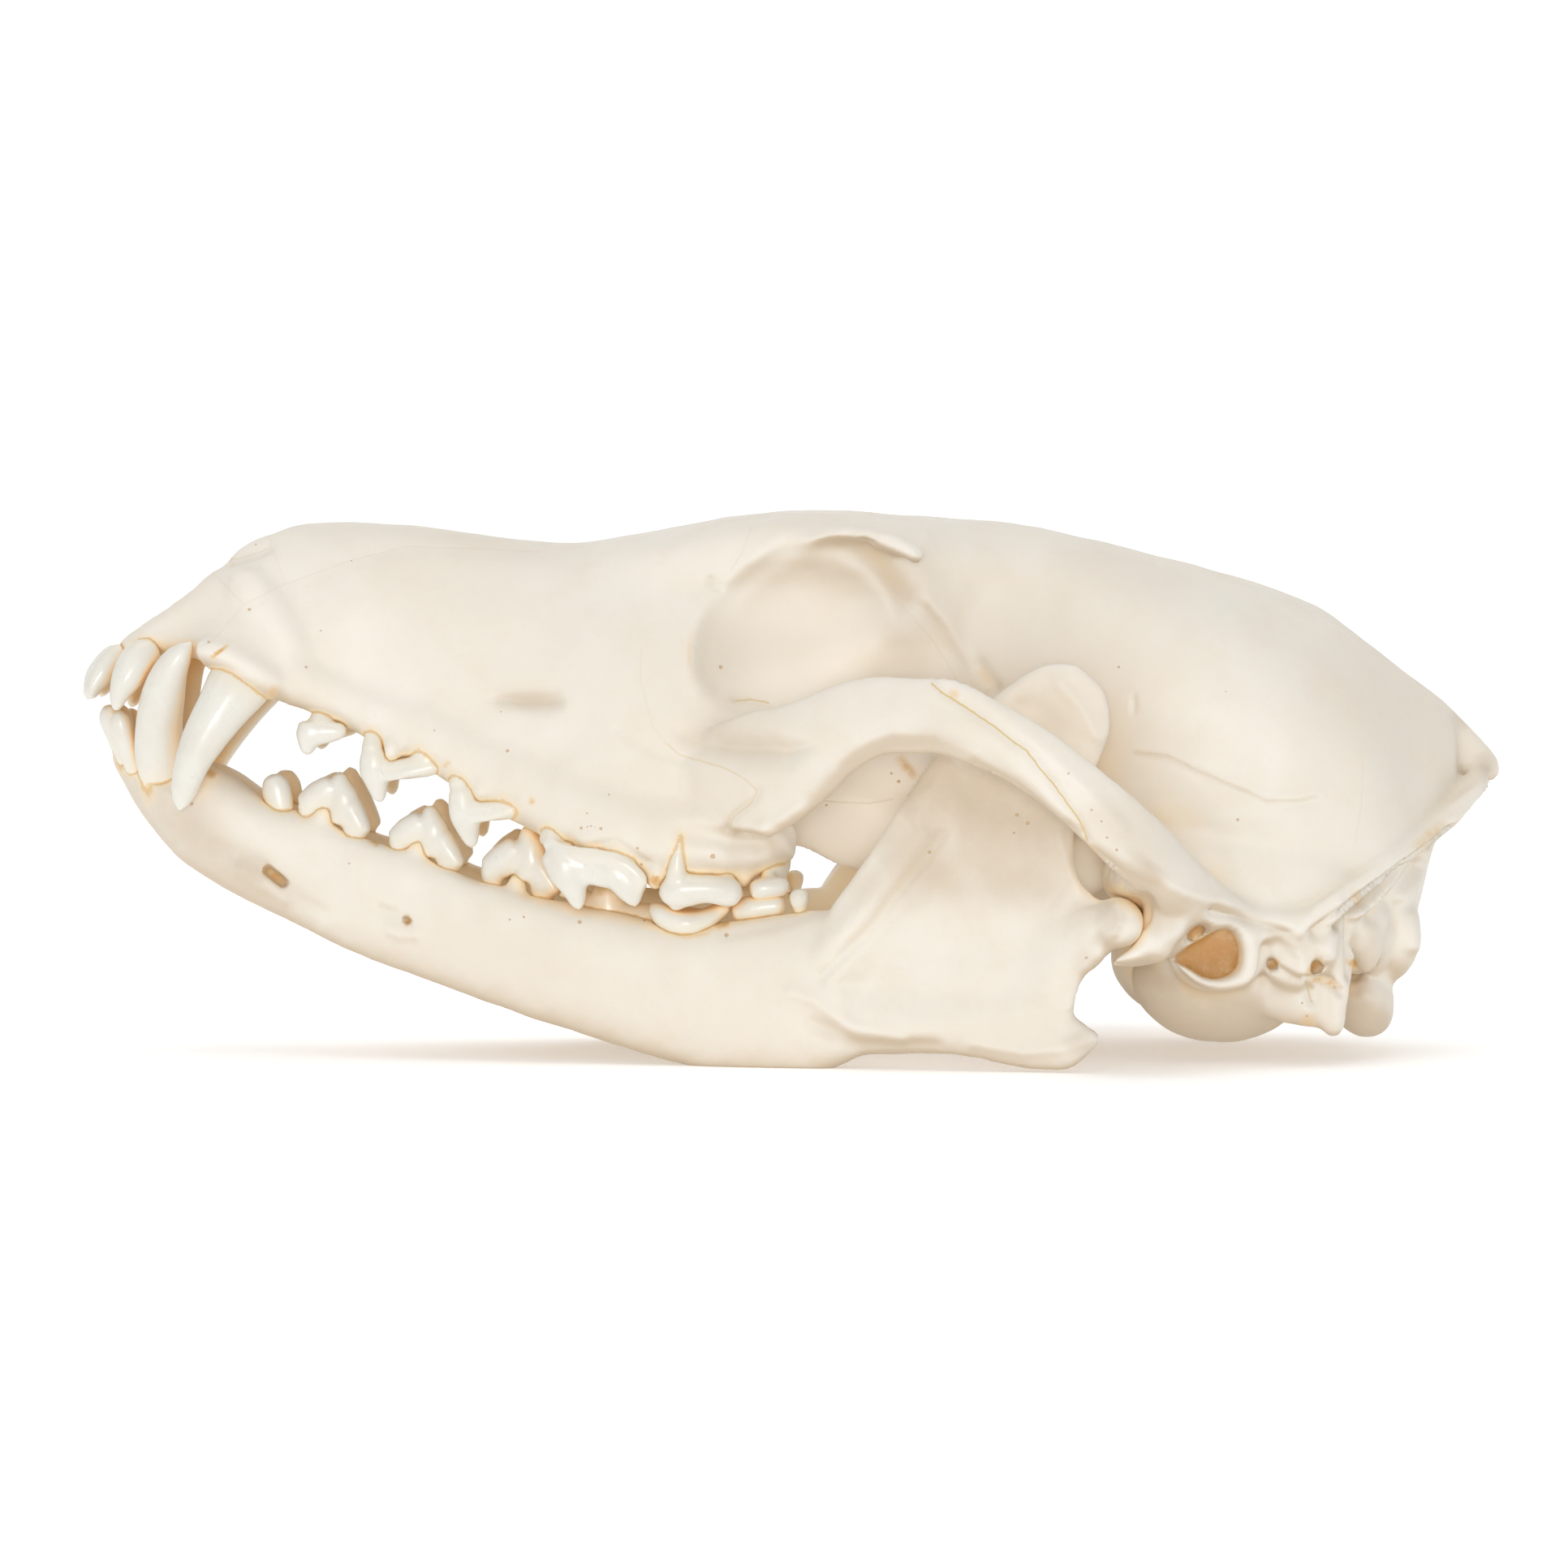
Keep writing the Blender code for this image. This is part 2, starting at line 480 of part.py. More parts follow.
def relax(obj, times, factor=0.5):
    """Evens out the skin."""
    mesh = obj.data
    edges = np.empty(len(mesh.edges) * 2, np.int64)
    mesh.edges.foreach_get("vertices", edges)
    a, b = edges.reshape(-1, 2).T
    points = np.empty(len(mesh.vertices) * 3)
    mesh.vertices.foreach_get("co", points)
    points = points.reshape(-1, 3)
    total = len(points)
    neighbours = np.bincount(a, minlength=total) + np.bincount(b, minlength=total)
    for _ in range(times):
        mean = np.empty_like(points)
        for axis in range(3):
            mean[:, axis] = np.bincount(a, points[b, axis], total) + np.bincount(b, points[a, axis], total)
        points = points + factor * (mean / neighbours[:, None] - points)
    mesh.vertices.foreach_set("co", points.ravel())
    mesh.update()


def separate(obj):
    """The closed surfaces of a mesh as objects of their own, largest first. The object is removed."""
    mesh = obj.data
    parent = list(range(len(mesh.polygons)))

    def root(i):
        while parent[i] != i:
            parent[i] = parent[parent[i]]
            i = parent[i]
        return i

    owner = {}
    for polygon in mesh.polygons:
        for edge in polygon.edge_keys:
            parent[root(polygon.index)] = root(owner.setdefault(edge, polygon.index))
    vertices, faces = take_mesh(obj)
    groups = {}
    for index, face in enumerate(faces):
        groups.setdefault(root(index), []).append(face)
    pieces = []
    for group in groups.values():
        used = sorted({i for face in group for i in face})
        place = {i: k for k, i in enumerate(used)}
        pieces.append((vertices[used], [tuple(place[i] for i in face) for face in group]))
    pieces.sort(key=lambda piece: -np.prod(np.ptp(piece[0], axis=0)))
    bpy.data.objects.remove(obj)
    return [make_object("piece", points, polygons) for points, polygons in pieces]


def keep_largest(obj):
    """The object's largest closed surface, under the object's name."""
    name = obj.name
    pieces = separate(obj)
    for scrap in pieces[1:]:
        bpy.data.objects.remove(scrap)
    pieces[0].name = name
    return pieces[0]


# The cranium

def cranium_side(side):
    """The bodies that only one side of the cranium has, to be joined to its big forms."""
    x, out, z = JAW_JOINT
    return [
        bar("arch", ARCH, 44, side, 16),
        bar("tooth_bank", TOOTH_BANK, 50, side, 16, ends=0.05),
        ellipsoid("canine_root", (-53.6, 8.3, 44.4), (3.4, 2.9, 7.4), side, tilt=-32),
        bar("brow", ((-8.6, 12.4, 46.6, 1.6, 1.6), (-4.0, 12.8, 50.2, 2.2, 1.6), (1.0, 13.2, 52.8, 2.8, 1.6),
                     (6.0, 14.0, 53.4, 3.0, 1.6), (9.6, 15.3, 52.9, 2.6, 1.4), (12.0, 16.6, 52.0, 1.7, 1.0),
                     (13.4, 17.6, 51.2, 0.9, 0.8)), 24, side, 12, ends=0.08),
        bar("nuchal_crest", NUCHAL_CREST, 40, side, 12, up=(0.75, 0.35, 0.2), ends=0.08),
        ellipsoid("mastoid", (51.2, 19.8, 12.0), (4.0, 3.2, 4.0), side),
        bar("paroccipital", ((55.6, 15.6, 17.0, 3.6, 3.4), (56.0, 17.4, 11.0, 2.4, 2.6), (55.4, 18.0, 6.6, 1.9, 2.2),
                             (55.0, 18.0, 2.6, 1.2, 1.4)), 14, side, 12, up=(1, 0, 0), ends=0.12),
        bar("behind_capsule", ((47.0, 17.6, 9.0, 1.6, 3.0), (50.6, 18.0, 7.0, 1.7, 3.0), (55.0, 17.6, 6.6, 1.9, 3.2)),
            10, side, 12, ends=0.2),
        ellipsoid("condyle", (59.0, 7.6, 6.3), (3.4, 4.8, 4.6), side, tilt=-25),
        ellipsoid("above_condyle", (61.2, 9.0, 13.0), (4.0, 5.0, 5.4), side),
        bar("pterygoid", PTERYGOID, 26, side, 12, ends=0.1),
        bar("joint_roof", ((x + 2.6, out + 6.8, z + 5.0, 4.4, 2.6), (x + 3.0, out, z + 4.4, 5.0, 3.2),
                           (x + 3.6, out - 9.0, z + 4.0, 5.0, 3.6)), 12, side, 18, ends=0.1),
        bar("joint_stop", ((x + 3.6, out + 5.2, z - 0.6, 1.5, 3.4), (x + 3.0, out, z - 1.8, 1.9, 4.2),
                           (x + 4.0, out - 7.0, z - 0.8, 1.8, 3.8)), 12, side, 14, ends=0.16),
        bar("nasal_tip", ((-50.0, 3.2, 54.2, 2.0, 1.0), (-55.0, 3.4, 53.2, 1.6, 0.8), (-58.8, 3.7, 51.4, 0.6, 0.5)),
            10, side, 10, ends=0.15),
    ]


def orbit(side):
    """The eye socket and the hollow behind it, cut from the big forms before the arch is joined."""
    return [
        ellipsoid("orbit", (2.5, 18.5, 44.0), (13.2, 9.2, 10.2), side, size=32),
        ellipsoid("behind_orbit", (12.0, 24.0, 34.0), (15.0, 14.6, 15.0), side, size=32),
    ]


def cranium_holes(side):
    """The openings on one side of the cranium."""
    x, out, z = JAW_JOINT
    room = CONDYLE_RADIUS + 0.6
    return [
        bar("joint_socket", ((x, out + 12, z, room, room), (x, out - 7.8, z, room, room)), 6, side, 24, ends=0.02),
        bar("infraorbital", ((-32.0, 16.5, 37.8, 1.5, 1.9), (-25.0, 13.4, 37.2, 1.3, 1.8), (-12.0, 13.6, 36.0, 1.3, 1.6)),
            10, side, 10, ends=0.05),
    ]


def cranium_body():
    """The whole cranium without its teeth, as one skin."""
    body = join("cranium", [
        section_body("muzzle", MUZZLE, 70),
        section_body("forehead", FOREHEAD, 44),
        section_body("braincase", BRAINCASE, 70),
    ])
    skin(body, SKIN_VOXEL)
    relax(body, 6)
    combine(body, [piece for side in SIDES.values() for piece in orbit(side)], "DIFFERENCE")
    skin(body, SKIN_VOXEL)
    relax(body, 5)
    pieces = [body, bar("inion", ((60.0, 0, 39.6, 1.4, 3.0), (67.0, 0, 34.6, 1.3, 2.8), (71.4, 0, 31.0, 1.3, 2.2),
                                  (74.6, 0, 28.8, 1.2, 1.2)), 14, ends=0.1)]
    for side in SIDES.values():
        pieces += cranium_side(side)
    body = join("cranium", pieces)
    skin(body, SKIN_VOXEL)
    relax(body, 3)
    holes = [
        bar("nose_hole", ((-82.0, 0, 52.0, 5.4, 6.4), (-69.0, 0, 48.6, 5.4, 5.2), (-58.0, 0, 47.4, 5.0, 4.8),
                          (-44.0, 0, 46.0, 3.2, 4.0)), 20, 1, 20, ends=0.08),
        bar("throat", ((24.0, 0, 15.6, 5.0, 4.2), (12.0, 0, 19.8, 4.9, 4.4), (2.0, 0, 23.0, 4.6, 3.4),
                       (-8.0, 0, 26.6, 3.6, 2.2)), 16, 1, 20, ends=0.06),
        bar("brain_hole", ((74.0, 0, 8.0, 6.4, 5.0), (62.0, 0, 11.0, 6.2, 5.0), (54.0, 0, 14.5, 6.4, 5.4),
                           (42.0, 0, 20.0, 7.0, 6.0)), 20, 1, 20, ends=0.06),
    ]
    for side in SIDES.values():
        holes += cranium_holes(side)
    combine(body, holes, "DIFFERENCE")
    skin(body, SKIN_VOXEL)
    return body


def teeth(jaw, side, upward):
    """The teeth of one side of a jaw. upward is 1 where the crowns point up and -1 where they point down."""
    pieces = []
    for name, rows in FRONT_TEETH[jaw].items():
        count = 5 if "incisor" in name else 7
        pieces.append(bar(name, rows, count, side, TOOTH_RING, up=(1, 0, 0), ends=0.08))
    turn = np.linspace(0, 2 * math.pi, TOOTH_RING, endpoint=False)
    for name, (gum, edge, outs, half) in CHEEK_TEETH[jaw].items():
        edge = along(edge, TOOTH_SECTIONS, 2)
        rings = []
        for k, (x, z) in enumerate(edge):
            t = k / (TOOTH_SECTIONS - 1)
            foot = np.array([gum[0][i] + t * (gum[1][i] - gum[0][i]) for i in (0, 1)])
            tip = np.array([x, z])
            thick = half * max(1 - abs(2 * t - 1) ** 3, 0.25)
            out = outs[0] + t * (outs[1] - outs[0])
            ring = []
            for angle in turn + math.pi / 2:
                rise = math.sin(angle)
                place = foot + rise * (tip - foot) if rise > 0 else foot + rise * np.array([0, upward * ROOT_DEPTH])
                width = thick * np.sign(math.cos(angle)) * abs(math.cos(angle)) ** 0.8
                ring.append((place[0], (out + width) * side, place[1]))
            rings.append(ring)
        pieces.append(loft(name, rings))
    for name, (centre, radii) in TOOTH_LOBES[jaw].items():
        pieces.append(ellipsoid(name + "_lobe", centre, radii, side, size=8))
    return pieces


def ear_capsule(word, side):
    """The swollen ear capsule under one side of the braincase, with the open ear hole."""
    body = join("auditory_bulla_" + word, [
        ellipsoid("bulla", (43.8, 13.0, 8.7), (9.4, 6.6, 6.8), side, tilt=4, yaw=-14, size=32),
        bar("ear_tube", ((43.2, 12.0, 11.2, 5.0, 4.2), (42.9, 18.5, 11.4, 4.9, 3.9), (42.9, 22.6, 11.4, 4.7, 3.7)),
            8, side, 18, ends=0.05),
    ])
    skin(body, SKIN_VOXEL)
    relax(body, 2)
    hole = bar("ear_hole", ((43.4, 9.0, 10.2, 3.2, 2.8), (42.8, 18.0, 11.0, 3.2, 2.6), (42.4, 26.0, 11.4, 3.5, 2.8)),
               8, side, 16, ends=0.03)
    combine(body, [hole], "DIFFERENCE")
    thin_out(body, BULLA_TRIANGLES)
    return keep_largest(body)


def swollen(obj, by):
    """A copy of the object whose surface lies further out, to cut its bed in what holds it."""
    mesh = obj.data
    normals = np.empty(len(mesh.vertices) * 3)
    mesh.vertex_normals.foreach_get("vector", normals)
    points, faces = take_mesh(obj)
    return make_object("bed", points + by * normals.reshape(-1, 3), faces)


def cranium():
    """The cranium parted into its nodes, with the upper teeth fused into the muzzle."""
    body = cranium_body()
    thin_out(body, CRANIUM_TRIANGLES)
    cuts = [slab("behind_muzzle", (1.9, 0, 40.0), (1.0, 0, 0.0), (19.0, 40.0))]
    for word, side in SIDES.items():
        cuts.append(slab("arch_front", (-3.2, 22.9, 31.4), (0.75, 0.66, 0.0), (6.5, 12.0), side))
        cuts.append(slab("arch_back", (38.2, 28.4, 19.0), (0.68, -0.73, -0.1), (12.0, 14.0), side))
        cuts.append(swollen(ear_capsule(word, side), GAP))
    combine(body, cuts, "DIFFERENCE")
    pieces = separate(body)
    for scrap in pieces[4:]:
        bpy.data.objects.remove(scrap)
    for piece in pieces[:4]:
        points, _ = take_mesh(piece)
        middle = (points.min(axis=0) + points.max(axis=0)) / 2
        if abs(middle[1]) > 10:
            piece.name = "zygomatic_arch_" + ("left" if middle[1] < 0 else "right")
        else:
            piece.name = "rostrum" if middle[0] < 0 else "braincase"
    rostrum = bpy.data.objects["rostrum"]
    combine(rostrum, [tooth for side in SIDES.values() for tooth in teeth("upper", side, -1)], "UNION")
    keep_largest(rostrum)


# The lower jaw

def ramus_plate(side):
    """The flat rear part of a jaw half, as rounded sections stacked along Z."""
    rings = []
    curve = smooth_curve(RAMUS)
    turn = np.linspace(0, 2 * math.pi, 32, endpoint=False)
    share = (1 - np.cos(turn)) / 2
    for z in np.linspace(RAMUS[0][0], RAMUS[-1][0], 44):
        front, back, out_front, out_back, half = curve(z)[0]
        x = front + (back - front) * share
        ridge = 1 + 0.55 * np.exp(-(((share - 0.1) / 0.09) ** 2))
        face = np.sign(np.sin(turn)) * np.abs(np.sin(turn)) ** 0.5
        y = out_front + (out_back - out_front) * share + half * ridge * face
        rings.append(np.column_stack([x, y * side, np.full_like(x, z)]))
    return loft("ramus", rings)


def mandible(word, side):
    """One half of the lower jaw with its teeth."""
    x, out, z = JAW_JOINT
    r, half = CONDYLE_RADIUS, CONDYLE_HALF_LENGTH
    body = join("mandible_" + word, [
        section_body("jaw_bar", JAW, 70, side, 24),
        ramus_plate(side),
        bar("condyle", ((x, out + half, z, r * 0.8, r * 0.8), (x, out + half * 0.5, z, r, r),
                        (x, out - half * 0.4, z, r * 0.9, r * 0.9), (x + 0.2, out - half, z, r * 0.7, r * 0.7)),
            14, side, 20, ends=0.12),
        bar("neck", ((x - 6.0, out - 0.8, z - 2.4, 1.9, 3.2), (x - 1.0, out - 0.3, z - 0.4, 2.2, 2.3)), 6, side, 14),
        bar("angle", ((22.0, 24.6, 2.6, 1.4, 2.2), (27.4, 25.8, 2.5, 1.2, 1.9), (30.9, 26.2, 3.9, 0.7, 0.7)),
            12, side, 12, ends=0.15),
    ])
    skin(body, SKIN_VOXEL)
    relax(body, 3)
    thin_out(body, JAW_TRIANGLES)
    combine(body, teeth("lower", side, 1), "UNION")
    combine(body, [slab("floor", (0, 0, -FLOOR_CUT / 2), (0, 1, 0), (100, FLOOR_CUT / 2), 1, 100)], "DIFFERENCE")
    return keep_largest(body)


def bone_material(obj):
    """A plain bone finish for one node."""
    colour, roughness = BONE
    material = bpy.data.materials.new(obj.name)
    material.use_nodes = True
    shader = material.node_tree.nodes["Principled BSDF"]
    shader.inputs["Base Color"].default_value = colour
    shader.inputs["Roughness"].default_value = roughness
    obj.data.materials.clear()
    obj.data.materials.append(material)
    obj.data.shade_smooth()
    obj.data.set_sharp_from_angle(angle=math.radians(40))


def main():
    for obj in list(bpy.data.objects):
        bpy.data.objects.remove(obj)
    cranium()
    for word, side in SIDES.items():
        mandible(word, side)
    for obj in bpy.data.objects:
        bone_material(obj)


main()
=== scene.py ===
"""The looks of a red fox skull with its lower jaw closed, life size, as a museum shows it.

The nose points along -X, +Z is up, and the animal's left side faces -Y. Sizes are in millimetres until
make_object turns them into metres. "out" is the distance from the plane of symmetry towards a cheek, the
same on both sides. Tables whose names end in _PX hold places in the photograph, in pixels of its
1932 x 1932 frame: they lie where the camera's sight line meets the bone, and the far side mirrors them.
"""

import json
import math

import bmesh
import bpy
import numpy as np
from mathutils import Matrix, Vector
from mathutils.bvhtree import BVHTree
from mathutils.kdtree import KDTree

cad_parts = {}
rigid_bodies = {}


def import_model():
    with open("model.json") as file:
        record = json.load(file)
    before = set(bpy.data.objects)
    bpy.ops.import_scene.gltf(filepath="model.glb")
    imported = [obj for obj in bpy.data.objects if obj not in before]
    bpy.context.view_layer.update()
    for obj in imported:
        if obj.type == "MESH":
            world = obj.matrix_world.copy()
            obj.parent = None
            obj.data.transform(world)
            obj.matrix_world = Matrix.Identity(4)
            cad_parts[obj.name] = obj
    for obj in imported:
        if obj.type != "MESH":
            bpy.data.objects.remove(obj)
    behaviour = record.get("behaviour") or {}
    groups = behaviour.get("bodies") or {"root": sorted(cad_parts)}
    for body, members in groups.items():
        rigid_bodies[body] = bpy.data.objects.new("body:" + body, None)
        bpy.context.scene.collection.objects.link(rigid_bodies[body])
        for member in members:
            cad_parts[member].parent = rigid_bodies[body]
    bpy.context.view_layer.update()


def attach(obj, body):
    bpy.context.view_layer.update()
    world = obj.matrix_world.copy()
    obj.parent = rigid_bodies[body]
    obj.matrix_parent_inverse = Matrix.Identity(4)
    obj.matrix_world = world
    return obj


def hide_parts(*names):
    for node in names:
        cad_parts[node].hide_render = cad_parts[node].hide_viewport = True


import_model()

MM = 0.001
SIDES = {"left": -1, "right": 1}

# How fine the skins are, in millimetres.
COARSE_VOXEL = 0.7
FINE_VOXEL = 0.36
JAW_VOXEL = 0.32
TOOTH_VOXEL = 0.22

# The camera, as the photograph was taken: it looks across the left side from a little above.
PHOTO_SIZE = 1932
PHOTO_CENTRE = 966
CAMERA_AIM = (-0.7, 0.0, 28.1)
CAMERA_DISTANCE = 560.0
CAMERA_AZIMUTH = -0.7
CAMERA_ELEVATION = 2.0
VIEW_WIDTH = 164.6
SENSOR_WIDTH = 36.0
MM_PER_PX = VIEW_WIDTH / PHOTO_SIZE

# The lights: name, place in metres, power in watts and size in metres.
LIGHTS = (
    ("front", (-0.03, -1.14, 0.09), 3.5, 0.25),
    ("key", (-0.50, -0.90, 0.60), 1.0, 0.7),
    ("top", (0.0, -0.15, 1.2), 3.3, 0.9),
)

# How closed in a place is, for painted light and shade: the coarse skin's step, the rays from each vertex,
# and where they start and end.
SHELTER_VOXEL = 0.9
SHELTER_RAYS = 16
SHELTER_START = 0.45
SHELTER_REACH = 15.0
# How far a place lies below its surroundings where it counts as a full hollow, which gets the full painted
# shade of hollows.
FULL_HOLLOW = 0.8

# The solid nodes that the cranium's skin shows, besides the one that holds the teeth.
CRANIUM_NODES = (
    "braincase", "zygomatic_arch_left", "zygomatic_arch_right", "auditory_bulla_left", "auditory_bulla_right",
)

# Where the jaw turns: the middle of the left and right condyles as (x, out, z), and their size.
JAW_JOINT = (32.3, 26.5, 15.2)
CONDYLE_RADIUS = 2.5
CONDYLE_HALF_LENGTH = 6.0

# Rows: x, top, bottom, out of the middle, half width, height of the widest place, crown, keel.
MUZZLE = (
    (-71.0, 42.4, 41.4, 0, 3.6, 42.0, 2.6, 2.6),
    (-69.8, 43.3, 41.0, 0, 6.0, 42.2, 3.0, 3.0),
    (-66.7, 45.6, 41.2, 0, 7.4, 43.2, 5.0, 3.0),
    (-61.9, 49.3, 41.4, 0, 7.4, 44.0, 5.0, 3.0),
    (-59.6, 51.0, 41.2, 0, 8.6, 43.4, 4.4, 3.0),
    (-57.4, 51.7, 40.6, 0, 9.9, 42.4, 3.4, 3.0),
    (-54.6, 54.3, 39.4, 0, 10.1, 42.0, 2.5, 3.0),
    (-52.8, 55.2, 38.8, 0, 9.9, 41.8, 2.4, 3.0),
    (-50.6, 55.6, 38.2, 0, 9.8, 41.4, 2.3, 3.0),
    (-46.4, 55.7, 36.6, 0, 9.9, 39.6, 2.2, 3.0),
    (-42.0, 55.5, 34.8, 0, 10.4, 37.8, 2.2, 3.0),
    (-35.3, 54.8, 32.0, 0, 11.8, 35.2, 2.15, 3.0),
    (-30.0, 54.1, 29.6, 0, 13.3, 33.0, 2.1, 3.0),
    (-24.2, 53.5, 26.8, 0, 15.4, 30.4, 2.0, 3.0),
    (-20.8, 53.5, 25.2, 0, 16.7, 29.0, 2.0, 3.0),
    (-14.8, 54.6, 23.2, 0, 18.3, 27.0, 2.0, 3.0),
    (-8.0, 55.8, 22.4, 0, 18.7, 26.2, 2.0, 3.0),
    (-1.6, 56.6, 23.4, 0, 16.4, 27.6, 2.0, 3.0),
    (0.4, 56.6, 25.0, 0, 14.4, 30.0, 2.0, 3.0),
    (4.0, 56.6, 30.0, 0, 11.4, 36.0, 2.0, 3.0),
    (9.0, 56.4, 33.0, 0, 9.4, 40.0, 2.0, 3.0),
)
FOREHEAD = (
    (-22.0, 53.3, 44.0, 0, 8.0, 48.0, 2.4, 2.0),
    (-14.8, 54.6, 44.0, 0, 11.2, 50.0, 2.6, 2.0),
    (-8.0, 55.8, 45.0, 0, 13.0, 51.4, 2.8, 2.0),
    (-1.2, 56.6, 45.5, 0, 13.6, 52.4, 2.8, 2.0),
    (5.0, 56.8, 38.0, 0, 14.2, 52.6, 2.8, 2.4),
    (9.0, 56.5, 35.0, 0, 14.4, 52.4, 2.7, 2.4),
    (11.6, 56.3, 34.0, 0, 13.8, 51.6, 2.6, 2.4),
    (14.4, 56.1, 34.0, 0, 12.4, 50.2, 2.4, 2.2),
    (17.6, 55.9, 35.0, 0, 11.6, 49.0, 2.2, 2.0),
    (22.0, 55.7, 36.0, 0, 11.3, 47.6, 2.1, 2.0),
    (28.0, 54.9, 37.0, 0, 12.0, 47.0, 2.1, 2.0),
)
BRAINCASE = (
    (-16.0, 53.6, 28.0, 0, 9.0, 40.0, 2.0, 2.0),
    (-8.0, 55.4, 25.5, 0, 8.6, 36.0, 2.0, 2.4),
    (0.0, 56.4, 24.5, 0, 8.4, 36.0, 2.0, 2.4),
    (8.0, 56.4, 22.5, 0, 8.8, 38.0, 2.0, 2.4),
    (14.0, 56.1, 20.6, 0, 10.2, 38.6, 2.0, 2.4),
    (20.0, 55.6, 18.6, 0, 12.9, 38.4, 2.0, 2.3),
    (26.0, 54.9, 16.8, 0, 16.6, 37.6, 2.0, 2.3),
    (32.0, 53.7, 15.0, 0, 20.0, 36.6, 2.0, 2.4),
    (38.0, 52.3, 13.0, 0, 22.2, 35.2, 2.0, 2.5),
    (44.0, 50.7, 11.2, 0, 23.0, 33.6, 2.0, 2.6),
    (49.1, 49.2, 9.4, 0, 22.8, 31.8, 1.95, 2.6),
    (55.0, 46.9, 7.4, 0, 21.0, 28.8, 1.9, 2.5),
    (60.1, 43.3, 7.0, 0, 18.0, 25.6, 1.9, 2.3),
    (62.8, 41.2, 8.2, 0, 14.8, 23.4, 1.9, 2.4),
    (64.6, 39.6, 11.4, 0, 12.2, 23.6, 1.9, 2.4),
    (66.6, 37.9, 19.4, 0, 9.2, 27.0, 2.0, 2.0),
    (69.6, 35.6, 26.0, 0, 4.6, 30.0, 2.0, 2.0),
)

# Rows: x, out, z, half thickness, half height.
ARCH = (
    (-12.5, 15.0, 30.5, 3.2, 5.0),
    (-8.6, 18.4, 29.9, 2.6, 7.2),
    (-3.6, 22.2, 30.1, 2.1, 7.2),
    (0.6, 25.6, 31.9, 1.9, 5.8),
    (4.6, 28.4, 34.5, 1.7, 4.6),
    (9.0, 31.0, 36.0, 1.6, 4.1),
    (14.0, 33.2, 35.9, 1.5, 3.9),
    (18.4, 34.6, 34.4, 1.5, 3.7),
    (22.6, 35.4, 32.2, 1.5, 3.4),
    (26.6, 35.7, 29.4, 1.5, 3.3),
    (30.4, 35.4, 26.2, 1.6, 3.4),
    (34.6, 33.8, 22.4, 2.2, 3.6),
    (38.4, 29.6, 18.9, 2.8, 3.5),
    (41.2, 26.2, 17.0, 2.8, 3.0),
    (44.2, 23.2, 15.5, 2.6, 2.4),
    (47.8, 21.2, 14.4, 2.3, 2.0),
    (51.5, 20.2, 13.6, 2.0, 1.8),
)
NUCHAL_CREST = (
    (72.6, 0.6, 29.8, 1.2, 1.7),
    (70.2, 5.6, 27.0, 0.8, 1.8),
    (66.6, 10.4, 24.0, 0.8, 2.0),
    (62.8, 14.4, 21.6, 0.8, 2.0),
    (59.0, 17.8, 19.4, 0.9, 2.0),
    (56.0, 20.2, 17.4, 1.1, 1.9),
    (53.4, 21.6, 15.6, 1.4, 1.8),
    (51.0, 22.2, 14.4, 1.6, 1.6),
    (47.0, 22.6, 14.6, 1.6, 1.5),
    (43.0, 23.4, 15.6, 1.6, 1.5),
)
TOOTH_BANK = (
    (-68.0, 4.6, 43.4, 2.2, 1.6),
    (-63.0, 5.8, 43.4, 1.8, 1.8),
    (-57.6, 8.8, 42.4, 2.2, 2.8),
    (-53.0, 9.2, 40.0, 2.0, 2.6),
    (-46.0, 8.9, 37.0, 1.8, 2.6),
    (-37.0, 10.6, 33.1, 1.9, 3.1),
    (-31.5, 12.0, 30.0, 2.1, 3.5),
    (-25.0, 14.0, 27.0, 2.4, 3.8),
    (-18.0, 16.2, 24.2, 2.8, 4.0),
    (-10.0, 17.2, 22.9, 3.3, 4.2),
    (-4.0, 15.8, 22.9, 3.2, 3.7),
    (0.6, 13.8, 23.4, 2.2, 2.5),
)
PTERYGOID = (
    (-6.0, 7.8, 25.0, 1.2, 2.6),
    (1.0, 6.6, 25.2, 0.9, 3.8),
    (7.0, 6.0, 23.8, 0.9, 4.8),
    (13.0, 5.8, 21.8, 0.9, 4.6),
    (17.0, 6.0, 19.0, 0.8, 3.4),
    (20.6, 6.4, 15.8, 0.8, 1.0),
)
# The smaller bars, in the same rows.
BROW = (
    (-7.0, 10.4, 48.8, 0.9, 0.9),
    (-2.5, 11.0, 51.7, 1.4, 1.0),
    (1.6, 12.2, 53.4, 2.2, 1.0),
    (6.0, 14.0, 53.9, 3.0, 1.1),
    (9.6, 15.3, 53.3, 2.6, 1.0),
    (12.0, 16.6, 52.3, 1.7, 0.8),
    (13.4, 17.4, 51.4, 0.9, 0.7),
)
NASAL_TIP = ((-50.0, 3.2, 54.2, 2.0, 1.0), (-55.0, 3.4, 53.2, 1.6, 0.8), (-58.8, 3.7, 51.4, 0.6, 0.5))
INION = (
    (60.0, 0, 39.6, 1.4, 3.0),
    (67.0, 0, 34.6, 1.3, 2.8),
    (71.4, 0, 31.0, 1.3, 2.2),
    (74.6, 0, 28.8, 1.2, 1.2),
)
PAROCCIPITAL = (
    (55.8, 15.6, 17.0, 3.4, 2.8),
    (55.6, 17.6, 11.0, 2.2, 1.7),
    (55.2, 18.2, 6.6, 1.8, 1.4),
    (54.9, 18.2, 2.6, 1.3, 1.2),
)
BEHIND_CAPSULE = ((47.0, 17.6, 9.0, 1.6, 3.0), (50.6, 18.0, 7.0, 1.7, 3.0), (55.0, 17.6, 6.6, 1.9, 3.2))
